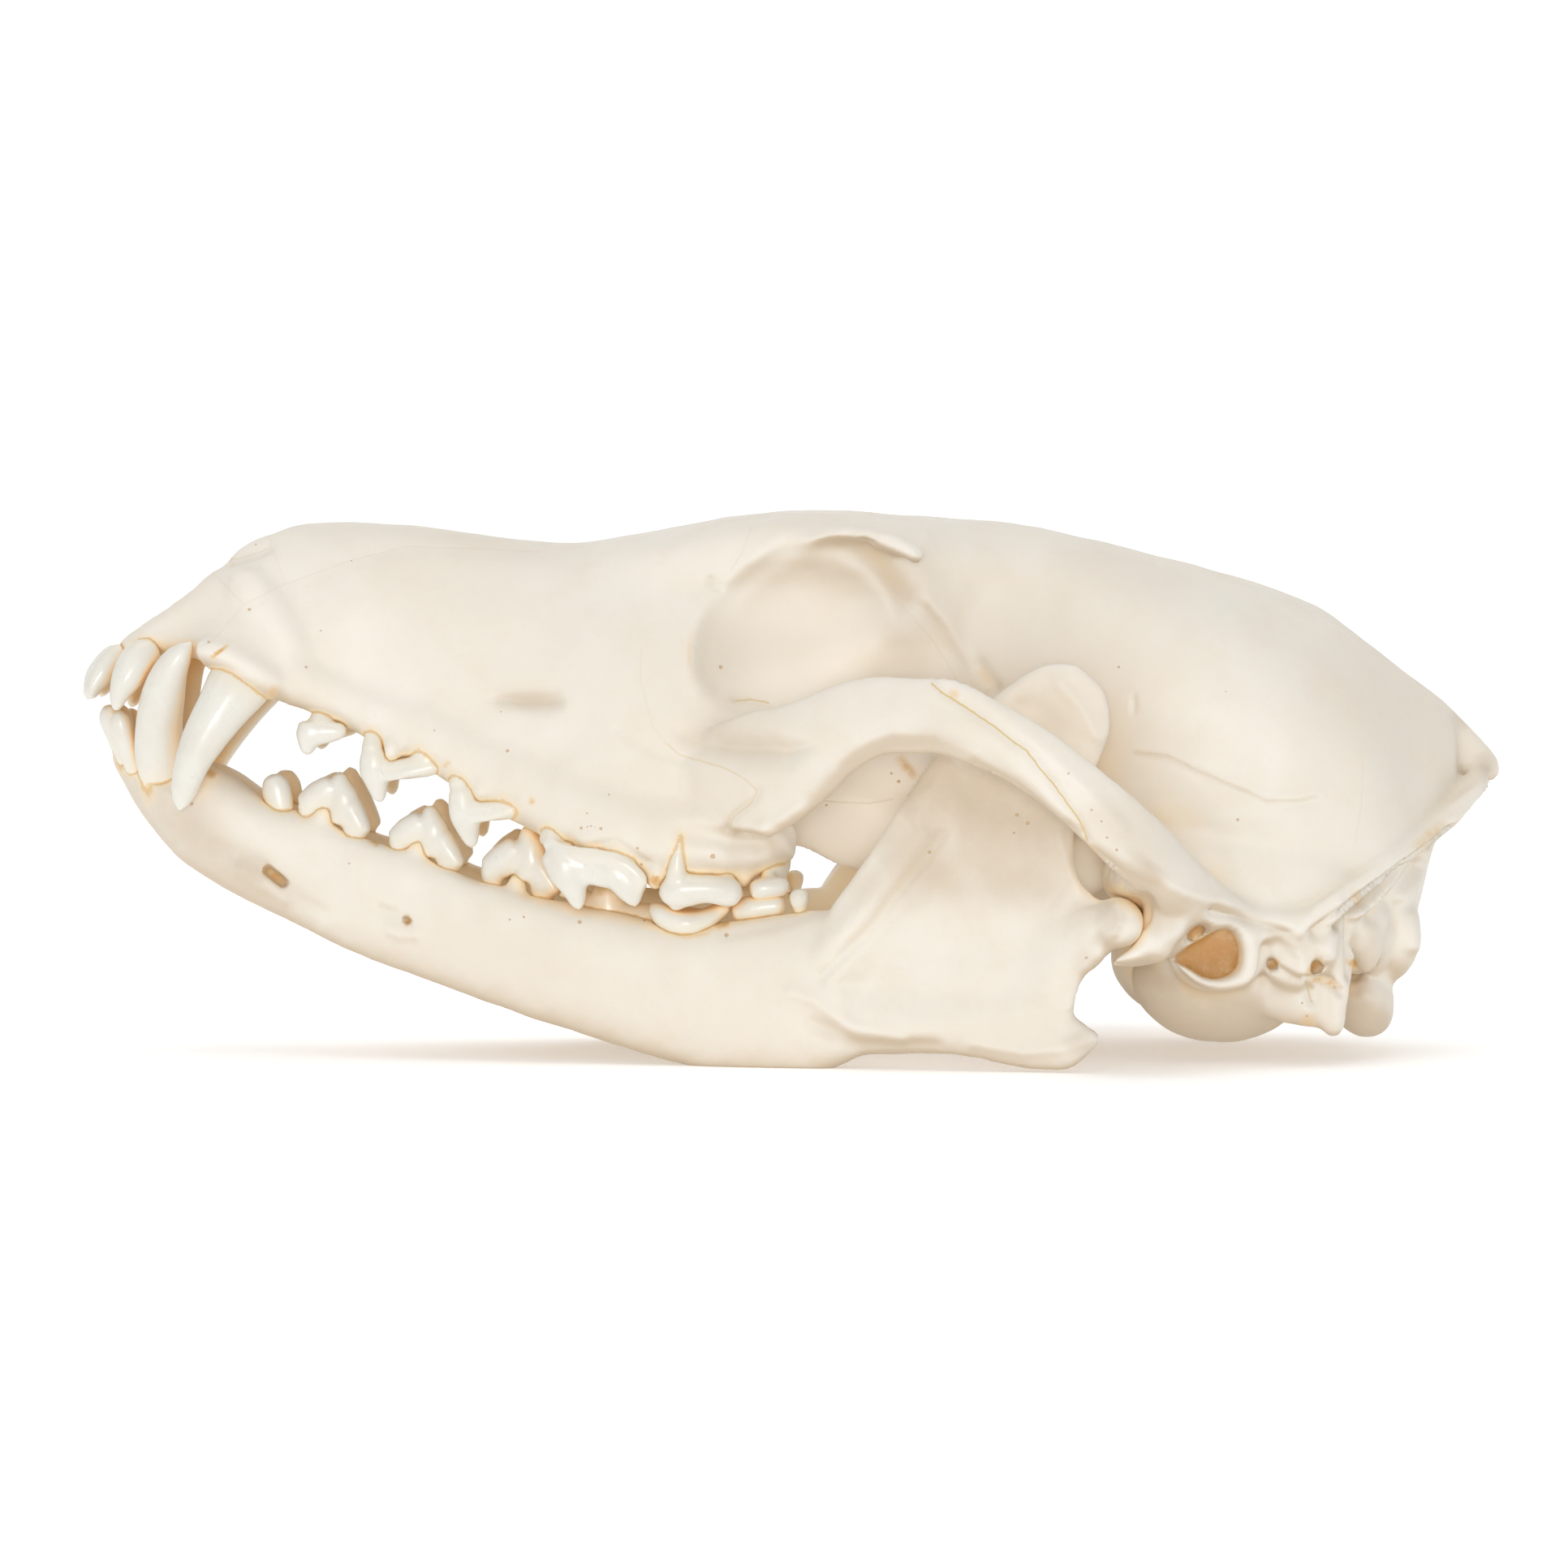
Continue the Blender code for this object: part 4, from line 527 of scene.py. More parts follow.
# Lines of relief: pixels, half width, height (below zero for a groove), and the outs between which they lie.
CRANIUM_LINES_PX = (
    (((285, 692), (318, 682), (331, 675)), 0.5, -0.45, (2, 8)),
    (((300, 745), (350, 720), (430, 690), (500, 673), (600, 676), (670, 680)), 0.9, -0.14, (3, 16)),
    (((330, 838), (390, 775), (450, 730)), 3.2, 0.35, (7, 14)),
    (((260, 800), (300, 815), (335, 835), (360, 862)), 0.8, 0.2, (7, 14)),
    (((610, 892), (660, 902)), 1.8, 0.25, (9, 20)),
    (((455, 915), (458, 870)), 1.2, 0.2, (8, 20)),
    (((528, 925), (532, 880)), 1.3, 0.2, (8, 20)),
    (((568, 950), (570, 900)), 1.3, 0.2, (8, 20)),
    (((634, 970), (636, 925)), 1.4, 0.22, (8, 20)),
    (((688, 1020), (694, 965)), 1.8, 0.25, (10, 24)),
    (((768, 1045), (762, 985)), 1.8, 0.22, (10, 24)),
    (((892, 1075), (888, 1030)), 1.3, 0.25, (10, 24)),
    (((700, 1035), (716, 1044), (760, 1036), (800, 1064)), 0.4, -0.18, (10, 24)),
    (((760, 900), (800, 925), (840, 937)), 0.5, -0.18, (12, 26)),
    (((1012, 645), (960, 664), (920, 693), (890, 718), (868, 745), (855, 770), (848, 800), (848, 830),
     (856, 850)), 0.8, 0.25, (9, 24)),
    (((1006, 662), (965, 682), (930, 710), (902, 738), (880, 770), (872, 800), (874, 830), (884, 848)),
     1.0, -0.15, (7, 20)),
    (((876, 716), (884, 724)), 0.5, -0.4, (9, 20)),
    (((905, 863), (925, 862), (948, 866)), 0.35, -0.35, (8, 22)),
    (((898, 1019), (905, 1005), (926, 988), (934, 975)), 0.4, -0.25, (14, 26)),
    (((905, 1030), (950, 1020), (1000, 985), (1030, 955)), 0.8, 0.3, (16, 30)),
    (((846, 1026), (890, 1033), (935, 1038)), 1.2, -0.6, (12, 26)),
    (((945, 1022), (962, 1035), (975, 1058)), 0.8, 0.35, (12, 24)),
    (((860, 1008), (898, 1020), (940, 1016)), 0.7, 0.25, (14, 28)),
    (((1000, 972), (1030, 941), (1050, 926), (1075, 911), (1100, 903), (1150, 905), (1200, 926)), 0.7, 0.16,
     (20, 40)),
    (((1002, 988), (1032, 957), (1052, 940), (1076, 925), (1100, 918), (1150, 921)), 1.1, -0.22, (19, 40)),
    (ARCH_SEAM_PX, 0.35, -0.28, (28, 40)),
    (((1165, 838), (1200, 858), (1240, 886), (1290, 930), (1340, 975), (1380, 1020)), 0.9, 0.25, (28, 40)),
    (((1180, 890), (1230, 920), (1280, 970), (1310, 1005)), 1.0, 0.2, (28, 40)),
    (((1200, 942), (1250, 968), (1295, 1002), (1330, 1028)), 0.6, -0.25, (28, 40)),
    (((1350, 1060), (1390, 1082), (1420, 1092)), 1.2, -0.5, (22, 40)),
    (((1365, 1040), (1410, 1075), (1460, 1100), (1520, 1118), (1590, 1147)), 0.8, 0.3, (18, 36)),
    (((1410, 1108), (1416, 1130)), 1.3, -0.55, (20, 36)),
    (((1425, 1128), (1440, 1150)), 1.2, 0.25, (22, 36)),
    (((1500, 1126), (1530, 1130), (1560, 1140), (1586, 1152)), 0.9, -0.9, (14, 30)),
    (((1010, 650), (1060, 654), (1100, 664), (1126, 684)), 0.6, 0.35, (12, 22)),
    (((1024, 668), (1066, 684), (1098, 712), (1116, 744)), 1.4, -0.5, (8, 20)),
    (((1064, 668), (1070, 671)), 0.5, -0.5, (8, 20)),
    (((1142, 640), (1137, 668), (1131, 690)), 0.8, 0.15, (6, 22)),
    (((1150, 646), (1300, 664), (1450, 700), (1600, 752), (1700, 812), (1775, 868)), 0.5, 0.18, (0, 20)),
    (((1424, 686), (1426, 694)), 0.5, -0.3, (0, 14)),
    (((1142, 738), (1170, 770), (1186, 800), (1201, 825), (1216, 846)), 0.7, 0.35, (6, 20)),
    (((1206, 822), (1216, 838), (1226, 850)), 0.9, -0.6, (6, 20)),
    (((1400, 922), (1440, 927), (1480, 947), (1540, 972), (1560, 982), (1600, 982), (1622, 977)), 0.5, 0.12,
     (10, 30)),
    (((1400, 932), (1440, 937), (1480, 957), (1540, 982), (1560, 992), (1600, 992), (1622, 987)),
     0.5, -0.14, (10, 30)),
    (((1397, 858), (1397, 876)), 0.3, -0.25, (10, 30)),
    (((1600, 1150), (1625, 1120), (1650, 1100), (1690, 1075), (1730, 1040), (1780, 1000), (1837, 965)),
     0.6, 0.35, (0, 26)),
    (((1622, 1150), (1642, 1130), (1666, 1112), (1700, 1092), (1742, 1058), (1785, 1022)), 0.7, -1.3,
     (2, 26)),
    (((1670, 1128), (1700, 1103), (1730, 1072), (1760, 1046)), 0.45, 0.8, (2, 24)),
    (((1688, 1128), (1722, 1100), (1752, 1068)), 0.8, -0.9, (0, 22)),
    (((1654, 1118), (1640, 1140), (1634, 1176)), 1.0, 0.8, (8, 26)),
    (((1664, 1124), (1668, 1160), (1669, 1200)), 0.7, -1.2, (4, 26)),
    (((1700, 1135), (1694, 1180), (1684, 1225)), 1.3, 0.7, (2, 20)),
    (((1722, 1120), (1724, 1160), (1712, 1198)), 1.0, -0.7, (0, 20)),
    (((1738, 1130), (1741, 1165)), 0.8, 0.5, (0, 20)),
    (((1590, 1160), (1605, 1180), (1606, 1200)), 0.8, 0.5, (10, 26)),
    (((1578, 1196), (1592, 1205), (1606, 1206)), 0.5, -0.45, (12, 26)),
    (((1610, 1206), (1636, 1208), (1652, 1222)), 0.4, -0.6, (12, 26)),
    (((1608, 1210), (1613, 1222), (1616, 1234)), 0.35, -0.35, (12, 26)),
    (((1540, 1222), (1570, 1212), (1600, 1226), (1612, 1242)), 1.4, 0.4, (10, 26)),
    (((1470, 1230), (1500, 1232), (1530, 1226)), 0.9, -0.3, (12, 26)),
    (((1378, 1196), (1384, 1215), (1400, 1240)), 0.5, -0.3, (6, 20)),
)
JAW_LINES_PX = (
    (((268, 1044), (290, 1053), (322, 1068)), 1.1, -0.35, (3, 14)),
    (((296, 1072), (320, 1090), (350, 1106)), 0.8, 0.25, (3, 14)),
    (((352, 1096), (375, 1112), (398, 1124)), 0.8, -0.2, (3, 14)),
    (((470, 1122), (486, 1128)), 0.7, -0.35, (6, 16)),
    (((480, 1146), (494, 1152), (510, 1152)), 0.6, 0.22, (6, 16)),
    (((385, 1000), (386, 1035)), 1.2, 0.2, (4, 16)),
    (((438, 1042), (440, 1075)), 1.3, 0.2, (4, 16)),
    (((494, 1048), (496, 1085)), 1.2, 0.2, (6, 18)),
    (((553, 1085), (556, 1120)), 1.3, 0.2, (6, 18)),
    (((608, 1092), (610, 1130)), 1.3, 0.2, (8, 20)),
    (((700, 1122), (705, 1165)), 1.6, 0.25, (8, 22)),
    (((840, 1160), (842, 1195)), 1.6, 0.22, (10, 24)),
    (((895, 1150), (940, 1142), (985, 1128), (1018, 1118)), 0.8, -0.25, (12, 26)),
    (((150, 945), (175, 958), (200, 973), (222, 984)), 0.5, 0.25, (2, 12)),
    (((1022, 1116), (1062, 1066), (1092, 1006), (1122, 960), (1152, 934)), 0.9, 0.3, (16, 30)),
    (((1160, 1030), (1134, 1066), (1104, 1102), (1074, 1142), (1040, 1176), (1012, 1204)), 0.7, -0.35,
     (16, 32)),
    (((1138, 1030), (1106, 1070), (1078, 1104), (1048, 1140), (1010, 1172)), 1.3, 0.3, (16, 32)),
    (((975, 1222), (1002, 1232), (1050, 1266), (1110, 1280)), 0.8, 0.3, (16, 32)),
    (((1000, 1262), (1060, 1288), (1150, 1290)), 0.9, -0.35, (14, 32)),
    (((1200, 1285), (1260, 1296), (1310, 1292), (1345, 1276)), 0.7, 0.25, (18, 32)),
    (((1305, 1030), (1316, 1070), (1330, 1095), (1352, 1108)), 0.6, 0.3, (20, 34)),
    (((1352, 1180), (1330, 1206), (1316, 1240)), 0.6, 0.25, (20, 34)),
    (((1352, 1112), (1358, 1140), (1352, 1164)), 0.8, -0.2, (24, 36)),
    (((1368, 1112), (1376, 1124), (1372, 1138), (1380, 1152), (1374, 1160)), 0.4, -0.22, (24, 36)),
    (((1384, 1116), (1388, 1130), (1383, 1146)), 0.35, -0.18, (24, 36)),
    (((1305, 843), (1330, 870), (1350, 905)), 0.8, 0.3, (20, 32)),
    (((1315, 1090), (1290, 1120)), 0.25, -0.12, (20, 32)),
)
# Hollows: outline in pixels, depth, how far in from the outline the full depth is reached, and the outs.
CRANIUM_HOLLOWS_PX = (
    (((820, 890), (880, 884), (950, 888), (1004, 906), (1016, 924), (976, 958), (900, 962), (836, 944)),
     -1.5, 4.4, (12, 32)),
    (((586, 860), (616, 848), (656, 841), (688, 842), (704, 858), (700, 876), (674, 888), (634, 884),
     (602, 872)), -0.9, 2.3, (9, 22)),
    (((560, 760), (640, 740), (700, 790), (760, 860), (760, 930), (690, 960), (610, 935), (560, 860)),
     -0.35, 5.0, (8, 24)),
    (((1180, 700), (1330, 700), (1330, 800), (1230, 830), (1170, 760)), -0.4, 4.0, (4, 24)),
    (((1372, 1105), (1400, 1098), (1430, 1108), (1425, 1140), (1405, 1150)), -0.4, 1.5, (20, 36)),
    (((1560, 1150), (1600, 1160), (1640, 1170), (1640, 1180), (1600, 1200), (1570, 1178)), -0.3, 1.0,
     (10, 26)),
)
JAW_HOLLOWS_PX = (
    (((1172, 950), (1158, 1030), (1104, 1102), (1050, 1165), (1008, 1212), (1045, 1262), (1130, 1272),
     (1230, 1272), (1300, 1240), (1306, 1190), (1322, 1130), (1308, 1060), (1300, 1000), (1250, 960)),
     -1.0, 4.5, (14, 34)),
    (((1240, 855), (1290, 850), (1345, 905), (1330, 960), (1240, 940)), -0.4, 2.5, (18, 34)),
)

# Seams between bones: pixels, how strongly they are coloured, and the outs.
CRANIUM_SEAMS_PX = (
    (((283, 690), (310, 684), (331, 675)), 0.25, (2, 9)),
    (((262, 706), (300, 745), (350, 720), (430, 691), (500, 673), (600, 676), (665, 680)), 0.12, (2, 16)),
    (((330, 660), (345, 700), (352, 722)), 0.05, (2, 16)),
    (((237, 800), (262, 790), (300, 745)), 0.08, (4, 12)),
    (((790, 800), (790, 840), (797, 870), (805, 895), (820, 915)), 0.08, (10, 27)),
    (((820, 915), (838, 930), (865, 938), (890, 945), (910, 955), (925, 965), (933, 975), (925, 990),
     (905, 1005), (898, 1020)), 0.5, (10, 27)),
    (((925, 650), (915, 680), (900, 705)), 0.12, (8, 22)),
    (ARCH_SEAM_PX, 1.0, (27, 40)),
    (((1400, 926), (1440, 931), (1480, 951), (1540, 976), (1560, 986), (1600, 986), (1622, 981)), 0.1,
     (10, 30)),
    (((1680, 940), (1678, 990), (1670, 1040)), 0.08, (4, 26)),
    (((1608, 1210), (1613, 1222), (1616, 1234)), 0.7, (10, 26)),
    (((1000, 985), (1030, 988), (1070, 990), (1100, 985)), 0.3, (4, 16)),
    # This row is painted shadow: the dark line in the slit between the arch's top and the orbit floor.
    (((905, 864), (925, 862), (948, 866)), 0.8, (6, 24)),
    (((1110, 745), (1150, 790), (1180, 840)), 0.1, (6, 20)),
)
# Pores: pixel across and down, half width in millimetres.
CRANIUM_PORES_PX = (
    (315, 671, 0.09), (307, 751, 0.14), (433, 691, 0.07), (395, 777, 0.07), (377, 822, 0.11),
    (535, 900, 0.08), (257, 791, 0.13), (617, 877, 0.07), (625, 925, 0.14), (723, 1002, 0.08),
    (785, 1045, 0.10), (790, 1065, 0.09), (716, 1020, 0.12), (728, 1018, 0.09), (740, 1021, 0.12),
    (750, 979, 0.07), (878, 1055, 0.20), (888, 822, 0.15), (1378, 822, 0.12), (1510, 852, 0.07),
    (1525, 1010, 0.12), (1098, 953, 0.12), (1107, 963, 0.14), (1018, 992, 0.10), (1345, 998, 0.10),
    (1357, 1012, 0.08), (1364, 1032, 0.10), (1376, 1047, 0.12), (1316, 953, 0.09), (1610, 1252, 0.10),
    (1604, 1236, 0.09), (1490, 1120, 0.08),
)
JAW_PORES_PX = (
    (645, 1130, 0.09), (628, 1133, 0.08), (1253, 1004, 0.13), (1266, 1014, 0.14), (1249, 1026, 0.10),
    (1145, 1050, 0.15), (895, 1152, 0.19), (714, 1136, 0.17), (794, 1134, 0.11), (236, 990, 0.15),
    (1338, 1180, 0.10), (430, 1064, 0.07),
)
# Strokes: pixels, half width, strength, and the outs. Amber is mostly painted shade in gaps, pits, openings
# and under ledges, with a few amber marks of the bone itself. Tan is mostly painted shade on undersides and
# shaded faces, partly the bone's own yellower tone; tan below zero is painted light that makes a place paler.
CRANIUM_AMBER_SHADE_PX = (
    (((150, 806), (158, 802)), 0.5, 0.7, (2, 10)),
    (((184, 812), (198, 815)), 0.6, 0.7, (3, 12)),
    (((160, 850), (172, 850)), 0.9, 0.5, (0, 8)),
    (((258, 812), (270, 803), (282, 794)), 0.2, 0.9, (4, 14)),
    (((243, 818), (252, 822)), 0.5, 0.5, (4, 12)),
    (((330, 850), (342, 856)), 0.9, 0.5, (5, 14)),
    (((545, 945), (556, 938)), 0.4, 0.5, (8, 18)),
    (((650, 985), (660, 990)), 0.4, 0.5, (8, 20)),
    (((804, 1090), (812, 1080)), 0.7, 0.9, (10, 24)),
    (((918, 1100), (925, 1092)), 0.6, 0.6, (10, 24)),
    (((1168, 850), (1182, 860)), 0.7, 0.35, (27, 40)),
    (((1206, 822), (1216, 838), (1224, 850)), 0.7, 0.3, (5, 20)),
    (((1060, 670), (1080, 688), (1108, 728), (1118, 744)), 1.2, 0.22, (7, 20)),
    (((853, 770), (848, 800), (850, 830)), 0.3, 0.3, (8, 24)),
    (((1105, 930), (1130, 960)), 0.6, 0.5, (4, 16)),
    (((1340, 1035), (1348, 1048), (1362, 1080)), 0.6, 0.3, (16, 40)),
    (((1664, 1108), (1680, 1104)), 0.9, 0.4, (5, 24)),
    (((1740, 1052), (1762, 1030), (1785, 1012)), 0.8, 0.4, (2, 22)),
    (((1458, 1156), (1470, 1144), (1486, 1141)), 0.9, 0.7, (10, 23)),
    (((1446, 1182), (1480, 1178), (1500, 1176), (1534, 1172)), 3.6, 0.85, (8, 21.2)),
    (((1566, 1184), (1572, 1192)), 0.7, 0.8, (8, 22)),
    (((1612, 1202), (1618, 1190), (1630, 1184)), 0.5, 0.7, (8, 24)),
    (((1612, 1207), (1636, 1209), (1650, 1220)), 0.3, 0.7, (8, 24)),
    (((1667, 1180), (1668, 1194)), 0.5, 0.7, (6, 22)),
    (((1600, 1258), (1622, 1262)), 1.0, 0.4, (6, 24)),
)
CRANIUM_TAN_SHADE_LIGHT_PX = (
    (((1790, 872), (1812, 898)), 1.4, 0.5, (0, 12)),
    (((1824, 925), (1838, 966)), 1.4, 0.6, (0, 12)),
    (((945, 1022), (966, 1050), (972, 1068)), 1.6, 0.8, (10, 24)),
    (((1420, 1060), (1400, 1085)), 2.2, 0.5, (16, 40)),
    (((990, 996), (1024, 962), (1060, 934), (1100, 916), (1150, 915), (1200, 932)), 1.1, 0.85, (18, 40)),
    (((836, 902), (900, 911), (970, 920)), 2.2, 0.55, (12, 30)),
    (((1510, 1128), (1550, 1136), (1585, 1150)), 1.0, 0.45, (12, 30)),
    (((1420, 1000), (1440, 940), (1430, 880)), 3.0, 0.15, (8, 30)),
    (((1340, 985), (1400, 1040), (1450, 1085)), 2.6, 0.45, (22, 40)),
    (((1376, 1186), (1410, 1235), (1450, 1262), (1510, 1275), (1600, 1262)), 2.6, 1.0, (6, 24)),
    (((1380, 1170), (1420, 1220), (1480, 1246), (1560, 1238)), 2.8, 0.95, (6, 24)),
    (((1386, 1086), (1416, 1104), (1436, 1130), (1420, 1160)), 1.8, 0.7, (16, 34)),
    (((1560, 1150), (1610, 1165), (1640, 1160)), 1.4, 0.3, (10, 28)),
    (((1700, 1130), (1690, 1180), (1668, 1230)), 1.6, 0.6, (3, 22)),
    (((1660, 1225), (1685, 1262), (1720, 1255)), 2.6, 1.0, (3, 18)),
    # The rows below zero are painted light that pales the shaded wall under the arch, the orbit and the
    # temple.
    (((950, 1040), (1020, 1000), (1090, 965), (1150, 940)), 4.6, -1.0, (2, 19)),
    (((1010, 1060), (1080, 1030), (1120, 1000)), 3.0, -0.6, (2, 19)),
    (((880, 850), (980, 838), (1080, 815), (1180, 800)), 3.2, -0.65, (5, 19)),
    (((880, 770), (980, 740), (1090, 770)), 4.2, -0.4, (5, 19)),
    (((1160, 740), (1300, 780), (1450, 830), (1640, 880)), 9.0, -0.2, (4, 24)),
    (((1000, 905), (1100, 868), (1200, 900), (1270, 955)), 2.6, 0.25, (26, 40)),
    (((1330, 1030), (1336, 1070), (1352, 1100)), 2.0, -1.0, (2, 30)),
    (((1040, 660), (1075, 688), (1106, 722), (1128, 752)), 1.8, 0.75, (5, 22)),
    (((606, 862), (650, 862), (700, 864)), 1.3, 0.65, (8, 22)),
)
# Mostly painted shade, in the jaw's openings, between the teeth and along the ramus.
JAW_AMBER_SHADE_PX = (
    (((322, 1068), (340, 1080), (354, 1092)), 0.7, 0.6, (3, 8.4)),
    (((500, 1133), (506, 1138)), 0.6, 0.6, (6, 11.6)),
    (((165, 905), (168, 935)), 0.5, 0.7, (2, 10)),
    (((354, 985), (356, 1000)), 0.4, 0.6, (3, 14)),
    (((455, 1030), (468, 1042)), 0.5, 0.7, (3, 14)),
    (((577, 1066), (588, 1082)), 0.5, 0.7, (5, 16)),
    (((255, 948), (266, 958)), 0.7, 0.6, (2, 12)),
    (((880, 1134), (900, 1134)), 0.9, 0.8, (8, 24)),
    (((800, 1124), (822, 1147), (845, 1155), (872, 1150), (886, 1134)), 0.3, 0.4, (8, 24)),
    (((1155, 1035), (1130, 1065), (1100, 1100), (1070, 1140), (1040, 1172)), 0.6, 0.16, (16, 32)),
    (((1118, 962), (1090, 1005), (1062, 1058)), 0.3, 0.3, (14, 30)),
)
# Tan strokes on the jaw, as painted shade: the chin's underside, the shaded top of the ramus and coronoid,
# and below the condyle.
JAW_TAN_SHADE_LIGHT_PX = (
    (((1120, 985), (1150, 955), (1180, 950)), 2.4, 0.45, (14, 32)),
    (((1270, 880), (1320, 910)), 2.6, 0.35, (16, 34)),
    (((110, 915), (150, 955), (215, 1005), (290, 1070), (400, 1130)), 3.0, 0.65, (0, 12)),
    (((1310, 1290), (1345, 1275)), 1.4, 0.4, (16, 34)),
    (((1358, 1112), (1372, 1136), (1366, 1164)), 1.3, 0.55, (18, 36)),
    (((1000, 1264), (1060, 1286), (1150, 1290)), 1.0, 0.5, (14, 34)),
    (((290, 1060), (330, 1075)), 1.4, 0.25, (3, 14)),
    (((1105, 1000), (1150, 958), (1220, 965), (1290, 985), (1350, 1000)), 3.0, 1.0, (14, 34)),
    (((1080, 1060), (1160, 1010), (1240, 1020), (1340, 1050)), 3.6, 0.7, (14, 34)),
    (((1050, 1120), (1150, 1080), (1250, 1090), (1350, 1100)), 3.4, 0.62, (14, 34)),
)


# Curves and closed bodies

def smooth_curve(rows):
    """A function of the first column that passes through the other columns without overshoot."""
    rows = np.asarray(rows, float)
    x, y = rows[:, 0], rows[:, 1:]
    step = np.diff(x)[:, None]
    rise = np.diff(y, axis=0) / step
    slope = np.empty_like(y)
    slope[0], slope[-1] = rise[0], rise[-1]
    before, after = rise[:-1], rise[1:]
    near, far = 2 * step[1:] + step[:-1], step[1:] + 2 * step[:-1]
    same_way = before * after > 0
    safe_before = np.where(same_way, before, 1.0)
    safe_after = np.where(same_way, after, 1.0)
    mean = (near + far) / (near / safe_before + far / safe_after)
    slope[1:-1] = np.where(same_way, mean, 0.0)

    def value(at):
        at = np.atleast_1d(np.asarray(at, float))
        k = np.clip(np.searchsorted(x, at) - 1, 0, len(x) - 2)
        h = step[k]
        t = np.clip(((at - x[k]) / h[:, 0])[:, None], 0, 1)
        return (
            (2 * t**3 - 3 * t**2 + 1) * y[k]
            + (t**3 - 2 * t**2 + t) * h * slope[k]
            + (3 * t**2 - 2 * t**3) * y[k + 1]
            + (t**3 - t**2) * h * slope[k + 1]
        )

    return value


def along(rows, count):
    """count rows spaced evenly along the line through the rows' first three columns."""
    rows = np.asarray(rows, float)
    gaps = np.linalg.norm(np.diff(rows[:, :3], axis=0), axis=1)
    distance = np.concatenate([[0], np.cumsum(gaps)])
    curve = smooth_curve(np.column_stack([distance, rows]))
    return curve(np.linspace(0, distance[-1], count))


def make_object(name, vertices, faces):
    """A mesh object, from sizes in millimetres, with its faces pointing out."""
    mesh = bpy.data.meshes.new(name)
    mesh.from_pydata([tuple(v) for v in np.asarray(vertices, float) * MM], [], faces)
    shape = bmesh.new()
    shape.from_mesh(mesh)
    bmesh.ops.recalc_face_normals(shape, faces=shape.faces)
    shape.to_mesh(mesh)
    shape.free()
    obj = bpy.data.objects.new(name, mesh)
    bpy.context.scene.collection.objects.link(obj)
    return obj


def loft(name, rings):
    """A closed body through rings that all have the same number of points."""
    rings = np.asarray(rings, float)
    count, size = rings.shape[:2]
    faces = []
    for r in range(count - 1):
        for k in range(size):
            after = (k + 1) % size
            faces.append((r * size + k, r * size + after, (r + 1) * size + after, (r + 1) * size + k))
    faces.append(tuple(range(size)))
    faces.append(tuple((count - 1) * size + k for k in range(size)))
    return make_object(name, rings.reshape(-1, 3), faces)


def egg(top, bottom, half, widest, crown, keel, size):
    """An egg-shaped ring of (across, up) points: crown and keel above 2 are squarer, below 2 sharper."""
    turn = np.linspace(0, 2 * math.pi, size, endpoint=False)
    c, s = np.cos(turn), np.sin(turn)
    power = np.where(s >= 0, 2 / crown, 2 / keel)
    reach = np.where(s >= 0, top - widest, widest - bottom)
    across = half * np.sign(c) * np.abs(c) ** power
    up = widest + reach * np.sign(s) * np.abs(s) ** power
    return across, up


def section_body(name, rows, count, side=1, size=40):
    """A body of egg-shaped sections across X."""
    rows = np.asarray(rows, float)
    curve = smooth_curve(rows)
    rings = []
    for x in np.linspace(rows[0, 0], rows[-1, 0], count):
        top, bottom, out, half, widest, crown, keel = curve(x)[0]
        across, up = egg(top, bottom, half, widest, crown, keel, size)
        rings.append(np.column_stack([np.full_like(across, x), (out + across) * side, up]))
    return loft(name, rings)


def bar(name, rows, count, side=1, size=20, up=(0, 0, 1), ends=0.25):
    """A bar along a path. Rows: x, out, z, half width across, half height towards up."""
    rows = along(rows, count)
    centre = rows[:, :3] * (1, side, 1)
    tangent = np.gradient(centre, axis=0)
    tangent /= np.linalg.norm(tangent, axis=1)[:, None]
    level = np.cross(tangent, np.asarray(up, float) * (1, side, 1))
    level /= np.linalg.norm(level, axis=1)[:, None]
    raised = np.cross(level, tangent)
    turn = np.linspace(0, 2 * math.pi, size, endpoint=False)
    rings = []
    for k, row in enumerate(rows):
        share = k / (count - 1)
        closeness = min(min(share, 1 - share) / ends, 1.0)
        taper = max(math.sqrt(1 - (1 - closeness) ** 2), 0.12)
        rings.append(
            centre[k]
            + np.outer(np.cos(turn), level[k]) * row[3] * taper
            + np.outer(np.sin(turn), raised[k]) * row[4] * taper
        )
    return loft(name, rings)


def ellipsoid(name, centre, radii, side=1, tilt=0.0, yaw=0.0, size=32):
    """An ellipsoid. tilt lifts its front and yaw turns its front outwards, in degrees."""
    tilt, yaw = math.radians(tilt), math.radians(yaw)
    turn = np.linspace(0, 2 * math.pi, size, endpoint=False)
    rings = []
    for lat in np.linspace(-math.pi / 2, math.pi / 2, size // 2 + 1)[1:-1]:
        x = radii[0] * math.cos(lat) * np.cos(turn)
        y = radii[1] * math.cos(lat) * np.sin(turn)
        z = np.full(size, radii[2] * math.sin(lat))
        x, z = x * math.cos(tilt) + z * math.sin(tilt), z * math.cos(tilt) - x * math.sin(tilt)
        x, y = x * math.cos(yaw) - y * math.sin(yaw), x * math.sin(yaw) + y * math.cos(yaw)
        rings.append((np.column_stack([x, y, z]) + centre) * (1, side, 1))
    return loft(name, rings)


# Work on meshes

def take_mesh(obj):
    """The object's vertices in millimetres and its faces."""
    mesh = obj.data
    vertices = np.empty(len(mesh.vertices) * 3)
    mesh.vertices.foreach_get("co", vertices)
    return vertices.reshape(-1, 3) / MM, [tuple(p.vertices) for p in mesh.polygons]


